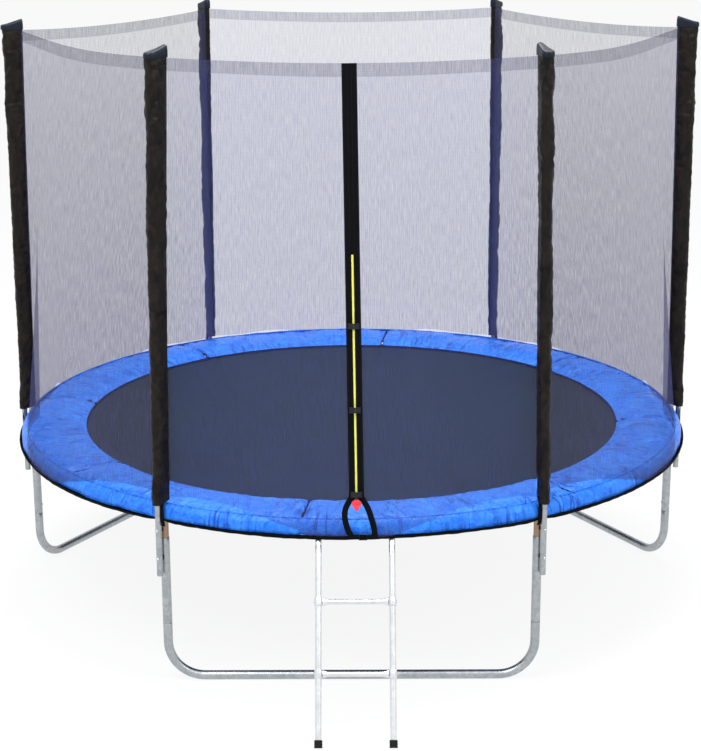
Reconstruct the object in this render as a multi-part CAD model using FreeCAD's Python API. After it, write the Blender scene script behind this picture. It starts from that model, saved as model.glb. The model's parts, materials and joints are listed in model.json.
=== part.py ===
import FreeCAD, Part
import math
import os
from FreeCAD import Placement, Rotation, Vector

# A ten foot garden trampoline with a pole enclosure, a zipped net door and a hook-on ladder.
# Millimetres, +Z up. The origin is on the ground under the middle of the ring, and the door
# and the ladder face -Y. Azimuths are degrees from +X, anticlockwise seen from above.

# Ring and legs
ring_radius = 1506.0            # middle line of the ring's tube
ring_height = 741.0             # the same line above the ground
frame_tube = 38.0
frame_wall = 1.5
tube_sides = 8                  # flats that stand for a round tube, their width across true
bolt_sides = 6
pin_sides = 12
ring_step = 7.5                 # degrees of one straight facet along every curve of the ring
leg_count = 6
swage_gap = 0.3                 # slack all round between a swaged end and its socket
swage_length = 60.0
socket_overlap = 150.0          # how far the ring's stub reaches into an upright
stub_show = 95.0                # ring's stub seen between an upright and the ring
base_joint = 255.0              # where an upright stands on its base tube
base_corner_radius = 150.0
bend_steps = 3                  # facets in one bend of a base
leg_screw_rise = 41.0           # screw above the joint
screw_diameter = 5.0
screw_head = 9.0
screw_head_height = 3.0
screw_length = 10.0
hole_gap = 0.2                  # slack on the diameter of a bolt or screw hole

# Springs and jumping mat
springs_per_rail = 8
spring_rise = 4.0               # spring axis above the ring's middle line
spring_diameter = 18.0
spring_sides = 6
spring_wire = 3.0
spring_body = 120.0
spring_ring_hook = 21.0         # spring body to the ring's tube
spring_mat_hook = 12.0          # tip of a triangle ring to the spring body
slot_width = 6.0
slot_height = 6.0
mat_thickness = 1.5
hem_width = 65.0
hem_thickness = 4.0
mat_drop = 2.0                  # mat top under the spring axis
vring_reach = 34.0              # triangle ring past the mat's edge
vring_tuck = 14.0               # and under the hem
vring_width = 42.0
vring_wire = 3.5
hook_play = 0.5                 # slack between a spring's hook and what it pulls on

# Safety pad
pad_sections = 8
pad_first_seam = -97.5
pad_reach = 266.0               # ring's middle line to the pad's inner edge
pad_lift = 4.0                  # underside above the top of the ring
pad_edge_thickness = 9.0
pad_crown = 13.0
pad_skirt_gap = 3.8             # between the ring's outside and the skirt
pad_skirt_thickness = 4.0
pad_skirt_drop = 21.0           # skirt's lower edge under the ring's middle line
pad_roll_radius = 12.0
pad_seam_notch = 11.0

# Enclosure poles
pole_diameter = 25.0
pole_wall = 1.2
pole_standoff = 8.5             # free space between an upright and its pole
pole_drop = 266.0               # pole's lower end under the ring's middle line
bolt_diameter = 6.0
bolt_drops = (194.0, 73.0)      # pole bolts under the ring's middle line
bolt_head = 13.0
bolt_head_height = 5.0
nut_across = 10.0
nut_height = 5.0
spacer_width = 14.0

# Foam sleeves
sleeve_rise = 39.0              # sleeve's lower end above the ring's middle line
sleeve_length = 1775.0
sleeve_over_pole = 10.0
foam_radius = 26.5
foam_nose = 61.0                # pole axis to the seam where the net is sewn in
nose_half_width = 2.5
back_steps = 7                  # facets of a sleeve's round back
cover_thickness = 1.2
foam_bore_gap = 0.4
cap_gap = 0.6
cap_wall = 3.0
cap_skirt = 13.0
cap_rise = 12.0                 # cap's flat top above the sleeve
strap_width = 25.0
strap_thickness = 1.5
strap_drop = 110.0
strap_lap = 20.0

# Enclosure net
net_thickness = 1.5
net_corner_drop = 15.0          # net's upper corners under the sleeve's end
net_sag = 23.0
net_foot_rise = 1.0             # net's lower edge above the ring's middle line
net_pad_gap = 16.2              # between the pad's skirt and the net's lower edge
net_side_gap = 1.6              # degrees kept free beside each pole at the bottom
net_columns = 4
net_rows = 3
net_hem = 52.0
net_cord = 16.0                 # solid band between two gaps
net_seam_gap = 0.3              # between a sleeve's nose and the net beside it

# Zipped door in the front net
door_gap = 0.6                  # stitching between the net and the webbing on it
door_top_shift = 0.0
door_bottom_shift = 24.0
binding_width = 58.0
binding_thickness = 1.6
door_slit = 2.0
zip_bottom = 157.0              # along the door from the net's lower edge
zip_length = 917.0
coil_width = 6.0
coil_height = 2.4
slider_width = 13.0
slider_length = 18.0
slider_cover = 1.6
slider_play = 0.4
slider_rest = 30.0              # slider's middle under the closed end of the zip
eye_play = 0.3
lug_width = 7.0
lug_length = 5.0
pull_pin = 2.0
pull_play = 0.06
pull_width = 9.0
pull_length = 42.0
pull_thickness = 1.6
pull_eye = 4.0
clip_places = (147.0, 477.0, 802.0)
clip_clearance = 11.0           # under the clip's arch, so that the slider passes
clip_thickness = 3.2
clip_height = 22.0
clip_span = 44.0
clip_foot = 9.0
clip_tongue = 12.0
clip_play = 0.4
foot_strap_width = 23.0         # straps that hold the door's foot under the skirt
foot_strap_left = ((-17.5, 137.0), (-43.0, 92.0), (-46.0, 50.0), (-36.0, 8.0), (-20.0, -24.0))
foot_strap_right = ((17.5, 137.0), (43.0, 92.0), (58.0, 45.0), (68.0, 0.0), (66.0, -24.0))
foot_band_drop = 22.0           # middle of the band that joins them, under the net's edge
foot_band_height = 18.0
buckle_width = 34.0
buckle_height = 24.0
buckle_wall = 3.0

# Ladder
ladder_middle = 16.5
ladder_spacing = 287.0
ladder_tube = 25.0
ladder_wall = 1.2
ladder_foot_reach = 404.0       # foot in front of the ring's middle line
hook_width = 20.0
hook_thickness = 3.0
hook_gap = 3.4
hook_drop = 30.0                # straight shank under the ring's middle line
hook_tail = 95.0
hook_inner_angle = 165.0
hook_steps = 7
ladder_tube_start = 34.0        # tube's upper end below the hook's bend
rung_heights = (487.0, 244.0)
rung_diameter = 22.0
rung_flare_height = 30.0        # rung's ends are pressed tall
rung_flare_length = 20.0
rung_flare_depth = 14.0
collar_diameter = 31.0
collar_length = 34.0
collar_gap = 0.3
ladder_bolt = 5.0
ladder_bolt_head = 9.0
ladder_bolt_head_height = 3.5
foot_wall = 3.0
foot_length = 26.0
pad_hook_room = 2.5

UP = Vector(0, 0, 1)
ORIGIN = Vector(0, 0, 0)
ring_top = ring_height + frame_tube / 2
ring_outside = ring_radius + frame_tube / 2
ring_inside = ring_radius - frame_tube / 2
leg_angle = 360.0 / leg_count
upright_top = ring_height - frame_tube / 2 - stub_show
bolt_heights = [ring_height - drop for drop in bolt_drops]
bore_diameter = frame_tube - 2 * frame_wall
swage_diameter = bore_diameter - 2 * swage_gap
spring_height = ring_height + spring_rise
spring_body_end = ring_inside - spring_ring_hook
spring_body_start = spring_body_end - spring_body
mat_radius = spring_body_start - spring_mat_hook - vring_reach
mat_top = spring_height - mat_drop
pad_inner_radius = ring_radius - pad_reach
pad_skirt_inner = ring_outside + pad_skirt_gap
pad_skirt_outer = pad_skirt_inner + pad_skirt_thickness
pad_skirt_bottom = ring_height - pad_skirt_drop
pole_radius = ring_outside + pole_standoff + pole_diameter / 2
pole_bottom = ring_height - pole_drop
sleeve_bottom = ring_height + sleeve_rise
sleeve_top = sleeve_bottom + sleeve_length
pole_top = sleeve_top - sleeve_over_pole
cap_top = sleeve_top + cap_rise
net_corner_top = sleeve_top - net_corner_drop
net_bottom = ring_height + net_foot_rise
net_bottom_radius = pad_skirt_outer + net_pad_gap
nose_radius = pole_radius - foam_nose
front = 270.0


def polar(radius, azimuth=0.0, height=0.0):
    """Point at a radius and azimuth about the middle of the ring."""
    angle = math.radians(azimuth)
    return Vector(radius * math.cos(angle), radius * math.sin(angle), height)


def turned(shape, azimuth):
    """Copy of a shape turned about the middle of the ring."""
    copy = shape.copy()
    copy.rotate(ORIGIN, UP, azimuth)
    return copy


def ring_of_points(diameter, middle, along, across, sides):
    """Corners of a regular outline with true width across its flats."""
    reach = diameter / 2 / math.cos(math.pi / sides)
    turns = [math.tau * (side + 0.5) / sides for side in range(sides)]
    return [middle + along * (reach * math.cos(turn)) + across * (reach * math.sin(turn))
            for turn in turns]


def skin(sections):
    """Closed solid through flat outlines that have as many corners each."""
    faces = [Part.Face(Part.makePolygon(end + end[:1])) for end in (sections[0], sections[-1])]
    for near, far in zip(sections, sections[1:]):
        for corner in range(len(near)):
            after = (corner + 1) % len(near)
            faces.append(Part.Face(Part.makePolygon(
                [near[corner], near[after], far[after], far[corner], near[corner]])))
    return closed(faces)


def closed(faces):
    """Solid inside a set of faces, outside out."""
    shell = Part.Shell(faces)
    shell.sewShape()
    solid = Part.Solid(shell)
    return solid if solid.Volume > 0 else solid.reversed()


def rod(diameter, start, end, sides=tube_sides):
    """Round bar between two points, with flats towards the part's own axes."""
    axis = (end - start).normalize()
    side = Vector(1, 0, 0) if abs(axis.x) < math.sqrt(0.5) else Vector(0, 1, 0)
    along = (side - axis * side.dot(axis)).normalize()
    across = axis.cross(along)
    return skin([ring_of_points(diameter, point, along, across, sides)
                 for point in (start, end)])


def tube(diameter, wall, start, end, sides=tube_sides):
    """Round tube between two points."""
    return rod(diameter, start, end, sides).cut(rod(diameter - 2 * wall, start, end, sides))


def block(low, high):
    """Box between two corners."""
    size = Vector(*high) - Vector(*low)
    return Part.makeBox(size.x, size.y, size.z, Vector(*low))


def prism(points, height):
    """Flat outline raised along a vector."""
    outline = [Vector(*point) for point in points]
    return Part.Face(Part.makePolygon(outline + outline[:1])).extrude(height)


def azimuths(start, sweep):
    """Azimuths from a start over a sweep, with a corner at every step of the ring."""
    first = math.floor(start / ring_step + 1 + 1e-6)
    count = math.ceil((start + sweep) / ring_step - 1e-6) - first
    return [start] + [ring_step * (first + index) for index in range(count)] + [start + sweep]


def facet(azimuth):
    """How far a facet of the ring lies inside the circle through its corners, as a factor."""
    aside = azimuth % ring_step - ring_step / 2
    return math.cos(math.radians(ring_step / 2)) / math.cos(math.radians(aside))


def ring_sweep(outline, start, sweep):
    """Solid that carries an outline of (radius, height) points round the ring."""
    return skin([[polar(radius * facet(azimuth), azimuth, height) for radius, height in outline]
                 for azimuth in azimuths(start, sweep)])


def ring_arc(diameter, start, sweep):
    """Stretch of a round bar that follows the ring."""
    flats = ring_of_points(diameter, Vector(ring_radius, ring_height, 0), Vector(1, 0, 0),
                           Vector(0, 1, 0), tube_sides)
    return ring_sweep([(point.x, point.y) for point in flats], start, sweep)


def save(name, *solids):
    """Write one node, which may hold several like solids."""
    shape = solids[0] if len(solids) == 1 else Part.makeCompound(list(solids))
    count = len(shape.Solids)
    print(f"{name}: {count} solids, {shape.Volume / 1000:.1f} cm3, valid {shape.isValid()}")
    shape.exportStep(f"parts/{name}.step")


def spring_azimuths():
    """Azimuth of each spring on one rail, about the rail's own middle."""
    step = leg_angle / springs_per_rail
    return [step * (index - (springs_per_rail - 1) / 2) for index in range(springs_per_rail)]


def bolt_hole(height, start, end):
    """Radial clearance hole for a pole bolt."""
    return rod(bolt_diameter + hole_gap, Vector(start, 0, height), Vector(end, 0, height),
               bolt_sides)


# ---------------------------------------------------------------- steel frame

def top_rail():
    """Sixth of the ring: a bent tube with a swaged end, spring slots and a leg stub."""
    half = leg_angle / 2
    swage_sweep = math.degrees(swage_length / ring_radius)
    shoulder = math.degrees(frame_wall / ring_radius)
    stub_bottom = upright_top - socket_overlap
    middle = polar(ring_radius, 0, ring_height)
    stub_foot = polar(ring_radius, 0, stub_bottom)
    weld = polar(ring_radius, 0, ring_height - frame_tube / 2)
    rail = ring_arc(frame_tube, -half, 2 * half)
    rail = rail.fuse([ring_arc(swage_diameter, half, swage_sweep),
                      rod(swage_diameter, stub_foot, middle)])
    inside = swage_diameter - 2 * frame_wall
    cuts = [ring_arc(bore_diameter, -half, 2 * half - shoulder),
            ring_arc(inside, half - shoulder, swage_sweep + shoulder),
            rod(inside, stub_foot, weld)]
    slot = block((ring_radius - frame_tube, -slot_width / 2, spring_height - slot_height / 2),
                 (ring_inside + 2 * frame_wall, slot_width / 2,
                  spring_height + slot_height / 2))
    cuts += [turned(slot, azimuth) for azimuth in spring_azimuths()]
    cuts += [bolt_hole(height, ring_radius - frame_tube, pole_radius) for height in bolt_heights]
    return rail.cut(cuts)


def upright():
    """Straight leg tube between a base and the ring's stub."""
    leg = tube(frame_tube, frame_wall, polar(ring_radius, 0, base_joint),
               polar(ring_radius, 0, upright_top))
    holes = [bolt_hole(height, ring_radius - frame_tube, pole_radius)
             for height in bolt_heights if height < upright_top]
    return leg.cut(holes + [leg_screw_hole()])


def leg_screw_hole():
    """Hole through the inner side of an upright and the swaged end inside it."""
    height = base_joint + leg_screw_rise
    return rod(screw_diameter + hole_gap, Vector(ring_radius - frame_tube, 0, height),
               Vector(ring_radius, 0, height), bolt_sides)


def leg_screw():
    """Screw that locks an upright on its base, head towards the middle."""
    height = base_joint + leg_screw_rise
    face = ring_inside
    head = rod(screw_head, Vector(face - screw_head_height, 0, height),
               Vector(face, 0, height), bolt_sides)
    shank = rod(screw_diameter, Vector(face, 0, height),
                Vector(face + screw_length, 0, height), bolt_sides)
    return head.fuse(shank)


def base_bar(diameter, end_height):
    """Round bar bent to a U that joins the feet of two legs, about azimuth 0."""
    half = ring_radius * math.sin(math.radians(leg_angle / 2))
    depth = ring_radius * math.cos(math.radians(leg_angle / 2))
    corner = base_corner_radius
    stations = [(half, end_height, 0)]
    for turn in range(bend_steps + 1):
        angle = 90 * turn / bend_steps
        lean = math.radians(angle)
        stations.append((half - corner + corner * math.cos(lean),
                         frame_tube / 2 + corner - corner * math.sin(lean), angle))
    outlines = []
    for side in (1, -1):
        for offset, height, angle in stations if side > 0 else reversed(stations):
            lean = math.radians(angle)
            inwards = Vector(0, -side * math.cos(lean), math.sin(lean))
            outlines.append(ring_of_points(diameter, Vector(depth, side * offset, height),
                                           Vector(1, 0, 0), inwards, tube_sides))
    return skin(outlines)


def leg_base():
    """U-shaped base tube with swaged ends that enter two uprights."""
    inside = swage_diameter - 2 * frame_wall
    bar = base_bar(frame_tube, base_joint)
    bore = base_bar(bore_diameter, base_joint - frame_wall)
    swages = []
    bores = [bore]
    start = polar(ring_radius, 0, base_joint - frame_wall)
    end = polar(ring_radius, 0, base_joint + swage_length)
    for azimuth in (-leg_angle / 2, leg_angle / 2):
        swages.append(turned(rod(swage_diameter, start, end), azimuth))
        bores.append(turned(rod(inside, start, end), azimuth))
        bores.append(turned(leg_screw_hole(), azimuth))
    return bar.fuse(swages).cut(bores)


# ------------------------------------------------------------ springs and mat

def spring():
    """Closely wound tension spring as its outer form, with a hook at each end."""
    body = rod(spring_diameter, Vector(spring_body_start, 0, spring_height),
               Vector(spring_body_end, 0, spring_height), spring_sides)
    half = spring_wire / 2
    outer = block((spring_body_end, -half, spring_height - half),
                  (ring_inside + frame_wall + spring_wire, half, spring_height + half))
    eye = ring_eye() - (half + hook_play) * slope_length() / (vring_width / 2)
    foot = mat_top - mat_thickness - vring_wire
    inner = prism([(spring_body_start, -half, spring_height + half),
                   (eye - spring_wire, -half, spring_height + half),
                   (eye - spring_wire, -half, foot), (eye, -half, foot),
                   (eye, -half, spring_height - half),
                   (spring_body_start, -half, spring_height - half)],
                  Vector(0, spring_wire, 0))
    return body.fuse([outer, inner])


def slope_length():
    """Length of the triangle ring from its tucked side to its tip."""
    return mat_radius + vring_reach - (mat_radius * facet(ring_step / 2) - vring_tuck)


def ring_eye():
    """Radius of the inner corner at the tip of a triangle ring."""
    slant = math.hypot(slope_length(), vring_width / 2)
    return mat_radius + vring_reach - vring_wire * slant / (vring_width / 2)


def triangle_ring():
    """Three-sided wire ring sewn under the mat's edge, pointing outwards."""
    top = mat_top - mat_thickness
    tip = mat_radius + vring_reach
    base = tip - slope_length()
    half = vring_width / 2
    inner_base = base + vring_wire
    inner_half = half * (ring_eye() - inner_base) / slope_length()
    outer = [(base, -half, top), (base, half, top), (tip, 0, top)]
    inner = [(inner_base, -inner_half, top), (inner_base, inner_half, top),
             (ring_eye(), 0, top)]
    down = Vector(0, 0, -vring_wire)
    return prism(outer, down).cut(prism(inner, down))


def ring_disc(radius, low, high):
    """Flat disc with a corner at every step of the ring."""
    count = round(360 / ring_step)
    return skin([[polar(radius, ring_step * index, height) for index in range(count)]
                 for height in (low, high)])


def jumping_mat():
    """Round woven mat inside its hem."""
    return ring_disc(mat_radius - hem_width, mat_top - mat_thickness, mat_top)


def mat_hem():
    """Mat's edge folded and sewn with webbing."""
    low = mat_top - mat_thickness
    high = mat_top + hem_thickness
    return ring_disc(mat_radius, low, high).cut(ring_disc(mat_radius - hem_width, low, high))


# ----------------------------------------------------------------- safety pad

def pad_profile():
    """Section of the pad: crowned foam, rolled edge and hanging skirt, as (radius, height)."""
    low = ring_top + pad_lift
    rim = low + pad_edge_thickness
    roll = pad_roll_radius
    inner = pad_inner_radius
    width = pad_skirt_outer - roll - inner
    return [(inner, low), (inner, rim - pad_edge_thickness / 3),
            (inner + width / 8, rim + (pad_crown - pad_edge_thickness) / 2),
            (inner + width / 2, low + pad_crown),
            (pad_skirt_outer - roll, rim), (pad_skirt_outer, rim - roll),
            (pad_skirt_outer, pad_skirt_bottom),
            (pad_skirt_inner, pad_skirt_bottom), (pad_skirt_inner, low)]


def pad_section(index, hook_rooms):
    """One foam-filled section between two sewn seams, notched at its inner corners."""
    sweep = 360.0 / pad_sections
    start = pad_first_seam + index * sweep
    section = ring_sweep(pad_profile(), start, sweep)
    notch = rod(2 * pad_seam_notch, polar(pad_inner_radius, 0, ring_top),
                polar(pad_inner_radius, 0, ring_top + 2 * pad_crown), bolt_sides)
    cuts = [turned(notch, start), turned(notch, start + sweep)]
    return section.cut(cuts + hook_rooms)


# ---------------------------------------------------------------------- poles

def pole():
    """Straight pole bolted to a leg, its upper length inside the sleeve."""
    body = tube(pole_diameter, pole_wall, polar(pole_radius, 0, pole_bottom),
                polar(pole_radius, 0, pole_top))
    return body.cut([bolt_hole(height, ring_radius, pole_radius + pole_diameter)
                     for height in bolt_heights])


def leg_face(height):
    """Half the width of what a pole bolt passes through: an upright or the ring's stub."""
    return frame_tube / 2 if height < upright_top else swage_diameter / 2


def pole_bolt(height):
    """Bolt through a pole and its leg, domed head outside."""
    tip = ring_radius - leg_face(height)
    face = pole_radius + pole_diameter / 2
    shank = rod(bolt_diameter, Vector(tip, 0, height), Vector(face, 0, height), bolt_sides)
    rim, crown = [ring_of_points(size, Vector(face + rise, 0, height), Vector(0, 1, 0), UP,
                                 bolt_sides)
                  for size, rise in ((bolt_head, 0), (bolt_head / 2, bolt_head_height))]
    return shank.fuse(skin([rim, crown]))


def pole_nut(height):
    """Closed hexagon nut on the inner side of a leg."""
    face = ring_radius - leg_face(height)
    return rod(nut_across, Vector(face - nut_height, 0, height), Vector(face, 0, height), 6)


def pole_spacer(height):
    """Moulded spacer between a pole and its leg, hollowed to sit on both tubes."""
    half = spacer_width / 2
    spacer = block((ring_radius, -half, height - half), (pole_radius, half, height + half))
    low = height - spacer_width
    high = height + spacer_width
    leg = rod(2 * leg_face(height), polar(ring_radius, 0, low), polar(ring_radius, 0, high))
    pole = rod(pole_diameter, polar(pole_radius, 0, low), polar(pole_radius, 0, high))
    return spacer.cut([leg, pole, bolt_hole(height, ring_radius, pole_radius)])


# --------------------------------------------------------------- foam sleeves

def teardrop(grow, low, high):
    """Upright body with a round back about the pole and a nose that points inwards."""
    radius = foam_radius + grow
    nose = nose_radius - grow
    half = nose_half_width + grow
    reach = math.hypot(pole_radius - nose, half)
    turn = math.pi - math.acos(radius / reach) - math.atan2(half, pole_radius - nose)
    angles = [turn * (2 * step / back_steps - 1) for step in range(back_steps + 1)]
    outline = [(pole_radius + radius * math.cos(angle), radius * math.sin(angle), low)
               for angle in angles]
    return prism(outline + [(nose, half, low), (nose, -half, low)], Vector(0, 0, high - low))


def pole_sleeve():
    """Sewn sleeve filled with foam, pushed over a pole."""
    bore = rod(pole_diameter + 2 * foam_bore_gap, polar(pole_radius, 0, sleeve_bottom),
               polar(pole_radius, 0, sleeve_top))
    return teardrop(cover_thickness, sleeve_bottom, sleeve_top).cut(bore)


def sleeve_cap():
    """Moulded hat over the top of a sleeve."""
    low = sleeve_top - cap_skirt
    outside = teardrop(cover_thickness + cap_gap + cap_wall, low, cap_top)
    return outside.cut(teardrop(cover_thickness + cap_gap, low, sleeve_top))


def sleeve_strap():
    """Webbing strap from the foot of a sleeve down to the leg bolt."""
    face = pole_radius + pole_diameter / 2 + bolt_head_height
    half = strap_width / 2
    back = pole_radius + foam_radius + cover_thickness
    outline = [(back, -half, sleeve_bottom + strap_lap), (back, -half, sleeve_bottom),
               (face, -half, sleeve_bottom - strap_drop),
               (face + strap_thickness, -half, sleeve_bottom - strap_drop),
               (back + strap_thickness, -half, sleeve_bottom),
               (back + strap_thickness, -half, sleeve_bottom + strap_lap)]
    return prism(outline, Vector(0, strap_width, 0))


# -------------------------------------------------------------- enclosure net

def net_point(across, rise):
    """Point of a net panel about azimuth 0; across and rise run from 0 to 1."""
    half = math.radians(leg_angle / 2)
    low_half = leg_angle / 2 - net_side_gap
    low = polar(net_bottom_radius, low_half * (2 * across - 1), net_bottom)
    seam = (nose_half_width + cover_thickness + net_seam_gap) / math.cos(half)
    top_half = nose_radius * math.sin(half) - seam
    sag = net_sag * (1 - (2 * across - 1) ** 2)
    top = Vector(nose_radius * math.cos(half), top_half * (2 * across - 1),
                 net_corner_top - sag)
    return low + (top - low) * rise


def net_lines(count, length, margin, middle):
    """Shares of a length where solid bands and gaps take turns, from 0 to 1."""
    lines = [0.0]
    pitch = (length - 2 * margin - middle) / count
    for index in range(count):
        start = margin + pitch * index + (middle if index >= count / 2 else 0)
        lines += [(start + net_cord / 2) / length, (start + pitch - net_cord / 2) / length]
    return lines + [1.0]


def net_panel(columns, slit):
    """Sheet from a sagging top edge to a round foot, one holed face of square openings."""
    width = 2 * nose_radius * math.sin(math.radians(leg_angle / 2))
    across = net_lines(columns, width, net_hem / 2, slit)
    rise = net_lines(net_rows, net_corner_top - net_bottom, net_hem, 0)
    back = Vector(-net_thickness, 0, 0)
    front = [[net_point(u, v) for v in rise] for u in across]
    rear = [[point + back for point in line] for line in front]

    def is_solid(column, row):
        return 0 <= row < len(rise) - 1 and not (column % 2 and row % 2)

    def face(*points):
        return Part.Face(Part.makePolygon([*points, points[0]]))

    def triangles(a, b, c, d):
        return [face(a, b, c), face(a, c, d)]

    last = len(across) - 1
    faces = []
    for edge, inner in ((0, 1), (last, last - 1)):
        for sheet in (front, rear):
            faces += [face(sheet[edge][0], sheet[edge][-1], sheet[inner][-1]),
                      face(sheet[edge][0], *sheet[inner])]
        faces += triangles(front[edge][0], front[edge][-1], rear[edge][-1], rear[edge][0])
    for i in range(last):
        for j in range(len(rise) - 1):
            if not is_solid(i, j):
                continue
            corners = [(i, j), (i + 1, j), (i + 1, j + 1), (i, j + 1)]
            if 0 < i < last - 1:
                faces += triangles(*[front[u][v] for u, v in corners])
                faces += triangles(*[rear[u][v] for u, v in corners])
            neighbours = [(i, j - 1), (i + 1, j), (i, j + 1), (i - 1, j)]
            for edge, (column, row) in enumerate(neighbours):
                if 0 <= column < last and not is_solid(column, row):
                    (u, v), (p, q) = corners[edge], corners[(edge + 1) % 4]
                    faces += triangles(front[u][v], front[p][q], rear[p][q], rear[u][v])
    return closed(faces)


# ----------------------------------------------------------------------- door

door_foot = Vector(door_bottom_shift, -net_bottom_radius - door_gap, net_bottom)
door_head = Vector(door_top_shift,
                   -nose_radius * math.cos(math.radians(leg_angle / 2)) - door_gap,
                   net_corner_top - net_sag)
door_up = (door_head - door_foot).normalize()
door_out = Vector(0, -1, 0)
door_out = (door_out - door_up * door_out.dot(door_up)).normalize()
door_across = door_up.cross(door_out)
door_length = (door_head - door_foot).Length
door_frame = Placement(FreeCAD.Matrix(
    door_across.x, door_up.x, door_out.x, door_foot.x,
    door_across.y, door_up.y, door_out.y, door_foot.y,
    door_across.z, door_up.z, door_out.z, door_foot.z, 0, 0, 0, 1))


def on_door(shape):
    """Move a shape drawn flat (across, up, out) onto the door's line."""
    placed = shape.copy()
    placed.Placement = door_frame.multiply(placed.Placement)
    return placed


def door_slit_cut(width, depth):
    """Slit of the door from its lower edge to the top of the zip."""
    return block((-width / 2, -net_hem, -depth), (width / 2, zip_bottom + zip_length, depth))


def strap_edge(line, width):
    """Points beside a line of (across, up) points, square to it at each point."""
    points = [Vector(across, up, 0) for across, up in line]
    edge = []
    for index, point in enumerate(points):
        before, after = points[max(index - 1, 0)], points[min(index + 1, len(points) - 1)]
        along = (after - before).normalize()
        edge.append(point + Vector(-along.y, along.x, 0) * width)
    return edge


def foot_strap(line):
    """Flat strap along a line at the door's foot."""
    half = foot_strap_width / 2
    outline = strap_edge(line, half) + strap_edge(line, -half)[::-1]
    return prism(outline, Vector(0, 0, binding_thickness))


def door_foot_opening(depth):
    """Room between the two foot straps, which the net leaves open."""
    outline = strap_edge(foot_strap_left, 0) + strap_edge(foot_strap_right, 0)[::-1]
    low = [point + Vector(0, -net_hem, -depth) for point in (outline[4], outline[5])]
    outline = [point + Vector(0, 0, -depth) for point in outline]
    return prism(outline[:5] + low + outline[5:], Vector(0, 0, 2 * depth))


def foot_buckle():
    """Buckle frame on the band that joins the foot straps."""
    middle = (foot_strap_left[-1][0] + foot_strap_right[-1][0]) / 2
    low = -foot_band_drop - buckle_height / 2
    outside = block((middle - buckle_width / 2, low, 0),
                    (middle + buckle_width / 2, low + buckle_height, 2 * buckle_wall))
    room = block((middle - buckle_width / 2 + buckle_wall, low + buckle_wall, binding_thickness),
                 (middle + buckle_width / 2 - buckle_wall, low + buckle_height - buckle_wall,
                  3 * buckle_wall))
    return outside.cut(room)


def door_binding():
    """Webbing along the door, split under the zip and parted at its foot, with a buckle."""
    top = foot_strap_left[0][1]
    strip = block((-binding_width / 2, top - foot_strap_width / 2, 0),
                  (binding_width / 2, door_length, binding_thickness))
    low = -foot_band_drop - foot_band_height / 2
    band = block((foot_strap_left[-1][0] - foot_strap_width / 2, low, 0),
                 (foot_strap_right[-1][0] + foot_strap_width / 2, low + foot_band_height,
                  binding_thickness))
    straps = [foot_strap(foot_strap_left), foot_strap(foot_strap_right)]
    return on_door(strip.cut(door_slit_cut(door_slit, net_hem))
                   .fuse(straps + [band, foot_buckle()]))


def zip_coil():
    """Closed zip coil lying over the slit."""
    return on_door(block((-coil_width / 2, zip_bottom, binding_thickness),
                         (coil_width / 2, zip_bottom + zip_length, binding_thickness + coil_height)))


slider_middle = zip_bottom - slider_rest
slider_floor = binding_thickness + slider_play
slider_roof = binding_thickness + coil_height + slider_play
slider_face = slider_roof + slider_cover
pin_height = slider_face + pull_eye / 2 + eye_play
lug_height = pull_eye + 2 * eye_play


def pull_axle(diameter, length):
    """Round bar or bore on the axis that the pull turns about."""
    return rod(diameter, Vector(-length / 2, slider_middle, pin_height),
               Vector(length / 2, slider_middle, pin_height), pin_sides)


def zip_slider():
    """Slider that runs over the coil, with a lug and a cross pin for its pull."""
    half = slider_length / 2
    body = block((-slider_width / 2, slider_middle - half, slider_floor),
                 (slider_width / 2, slider_middle + half, slider_face))
    tunnel = block((-coil_width / 2 - slider_play, slider_middle - slider_length, 0),
                   (coil_width / 2 + slider_play, slider_middle + slider_length, slider_roof))
    lug = block((-lug_width / 2, slider_middle - lug_length / 2, slider_face),
                (lug_width / 2, slider_middle + lug_length / 2, slider_face + lug_height))
    fork = block((-pull_thickness, slider_middle - lug_length, slider_face),
                 (pull_thickness, slider_middle + lug_length, slider_face + 2 * lug_height))
    pin = pull_axle(pull_pin, lug_width)
    return on_door(body.cut(tunnel).fuse(lug).cut(fork).fuse(pin))


def zip_pull():
    """Pull tab that hangs from the slider's pin."""
    half = pull_thickness / 2
    eye = pull_axle(pull_eye, pull_thickness)
    neck = block((-half, slider_middle - slider_length, pin_height - half),
                 (half, slider_middle, pin_height + half))
    tab = block((-pull_width / 2, slider_middle - pull_length, pin_height - half),
                (pull_width / 2, slider_middle - slider_length, pin_height + half))
    hole = pull_axle(pull_pin + 2 * pull_play, 2 * pull_eye)
    return on_door(eye.fuse([neck, tab]).cut(hole))


def clip_socket(place):
    """Left half of a door clip: a foot on the webbing and an arm that arches over the zip."""
    low = place - clip_height / 2
    left = -clip_span / 2
    reach = clip_span / 2 - clip_foot
    outline = [(left, low, binding_thickness), (left + clip_foot, low, binding_thickness),
               (left + clip_foot, low, clip_clearance), (reach, low, clip_clearance),
               (reach, low, clip_clearance + clip_thickness),
               (left, low, clip_clearance + clip_thickness)]
    arm = prism(outline, Vector(0, clip_height, 0))
    third = clip_height / 3
    mouth = block((reach - clip_tongue - clip_play, low + third - clip_play, 0),
                  (reach + clip_play, low + 2 * third + clip_play, 2 * clip_clearance))
    return on_door(arm.cut(mouth))


def clip_hook(place):
    """Right half of a door clip: a foot on the webbing and a tongue that enters the arm."""
    low = place - clip_height / 2
    right = clip_span / 2
    inner = right - clip_foot + clip_play
    third = clip_height / 3
    foot = block((inner, low, binding_thickness + clip_play),
                 (right, low + clip_height, clip_clearance + clip_thickness))
    tongue = block((inner - clip_tongue, low + third, clip_clearance),
                   (inner, low + 2 * third, clip_clearance + clip_thickness))
    return on_door(foot.fuse(tongue))


# --------------------------------------------------------------------- ladder

hook_inner = frame_tube / 2 + hook_gap
hook_middle = hook_inner + hook_thickness / 2
bend_height = ring_height - hook_drop


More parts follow.
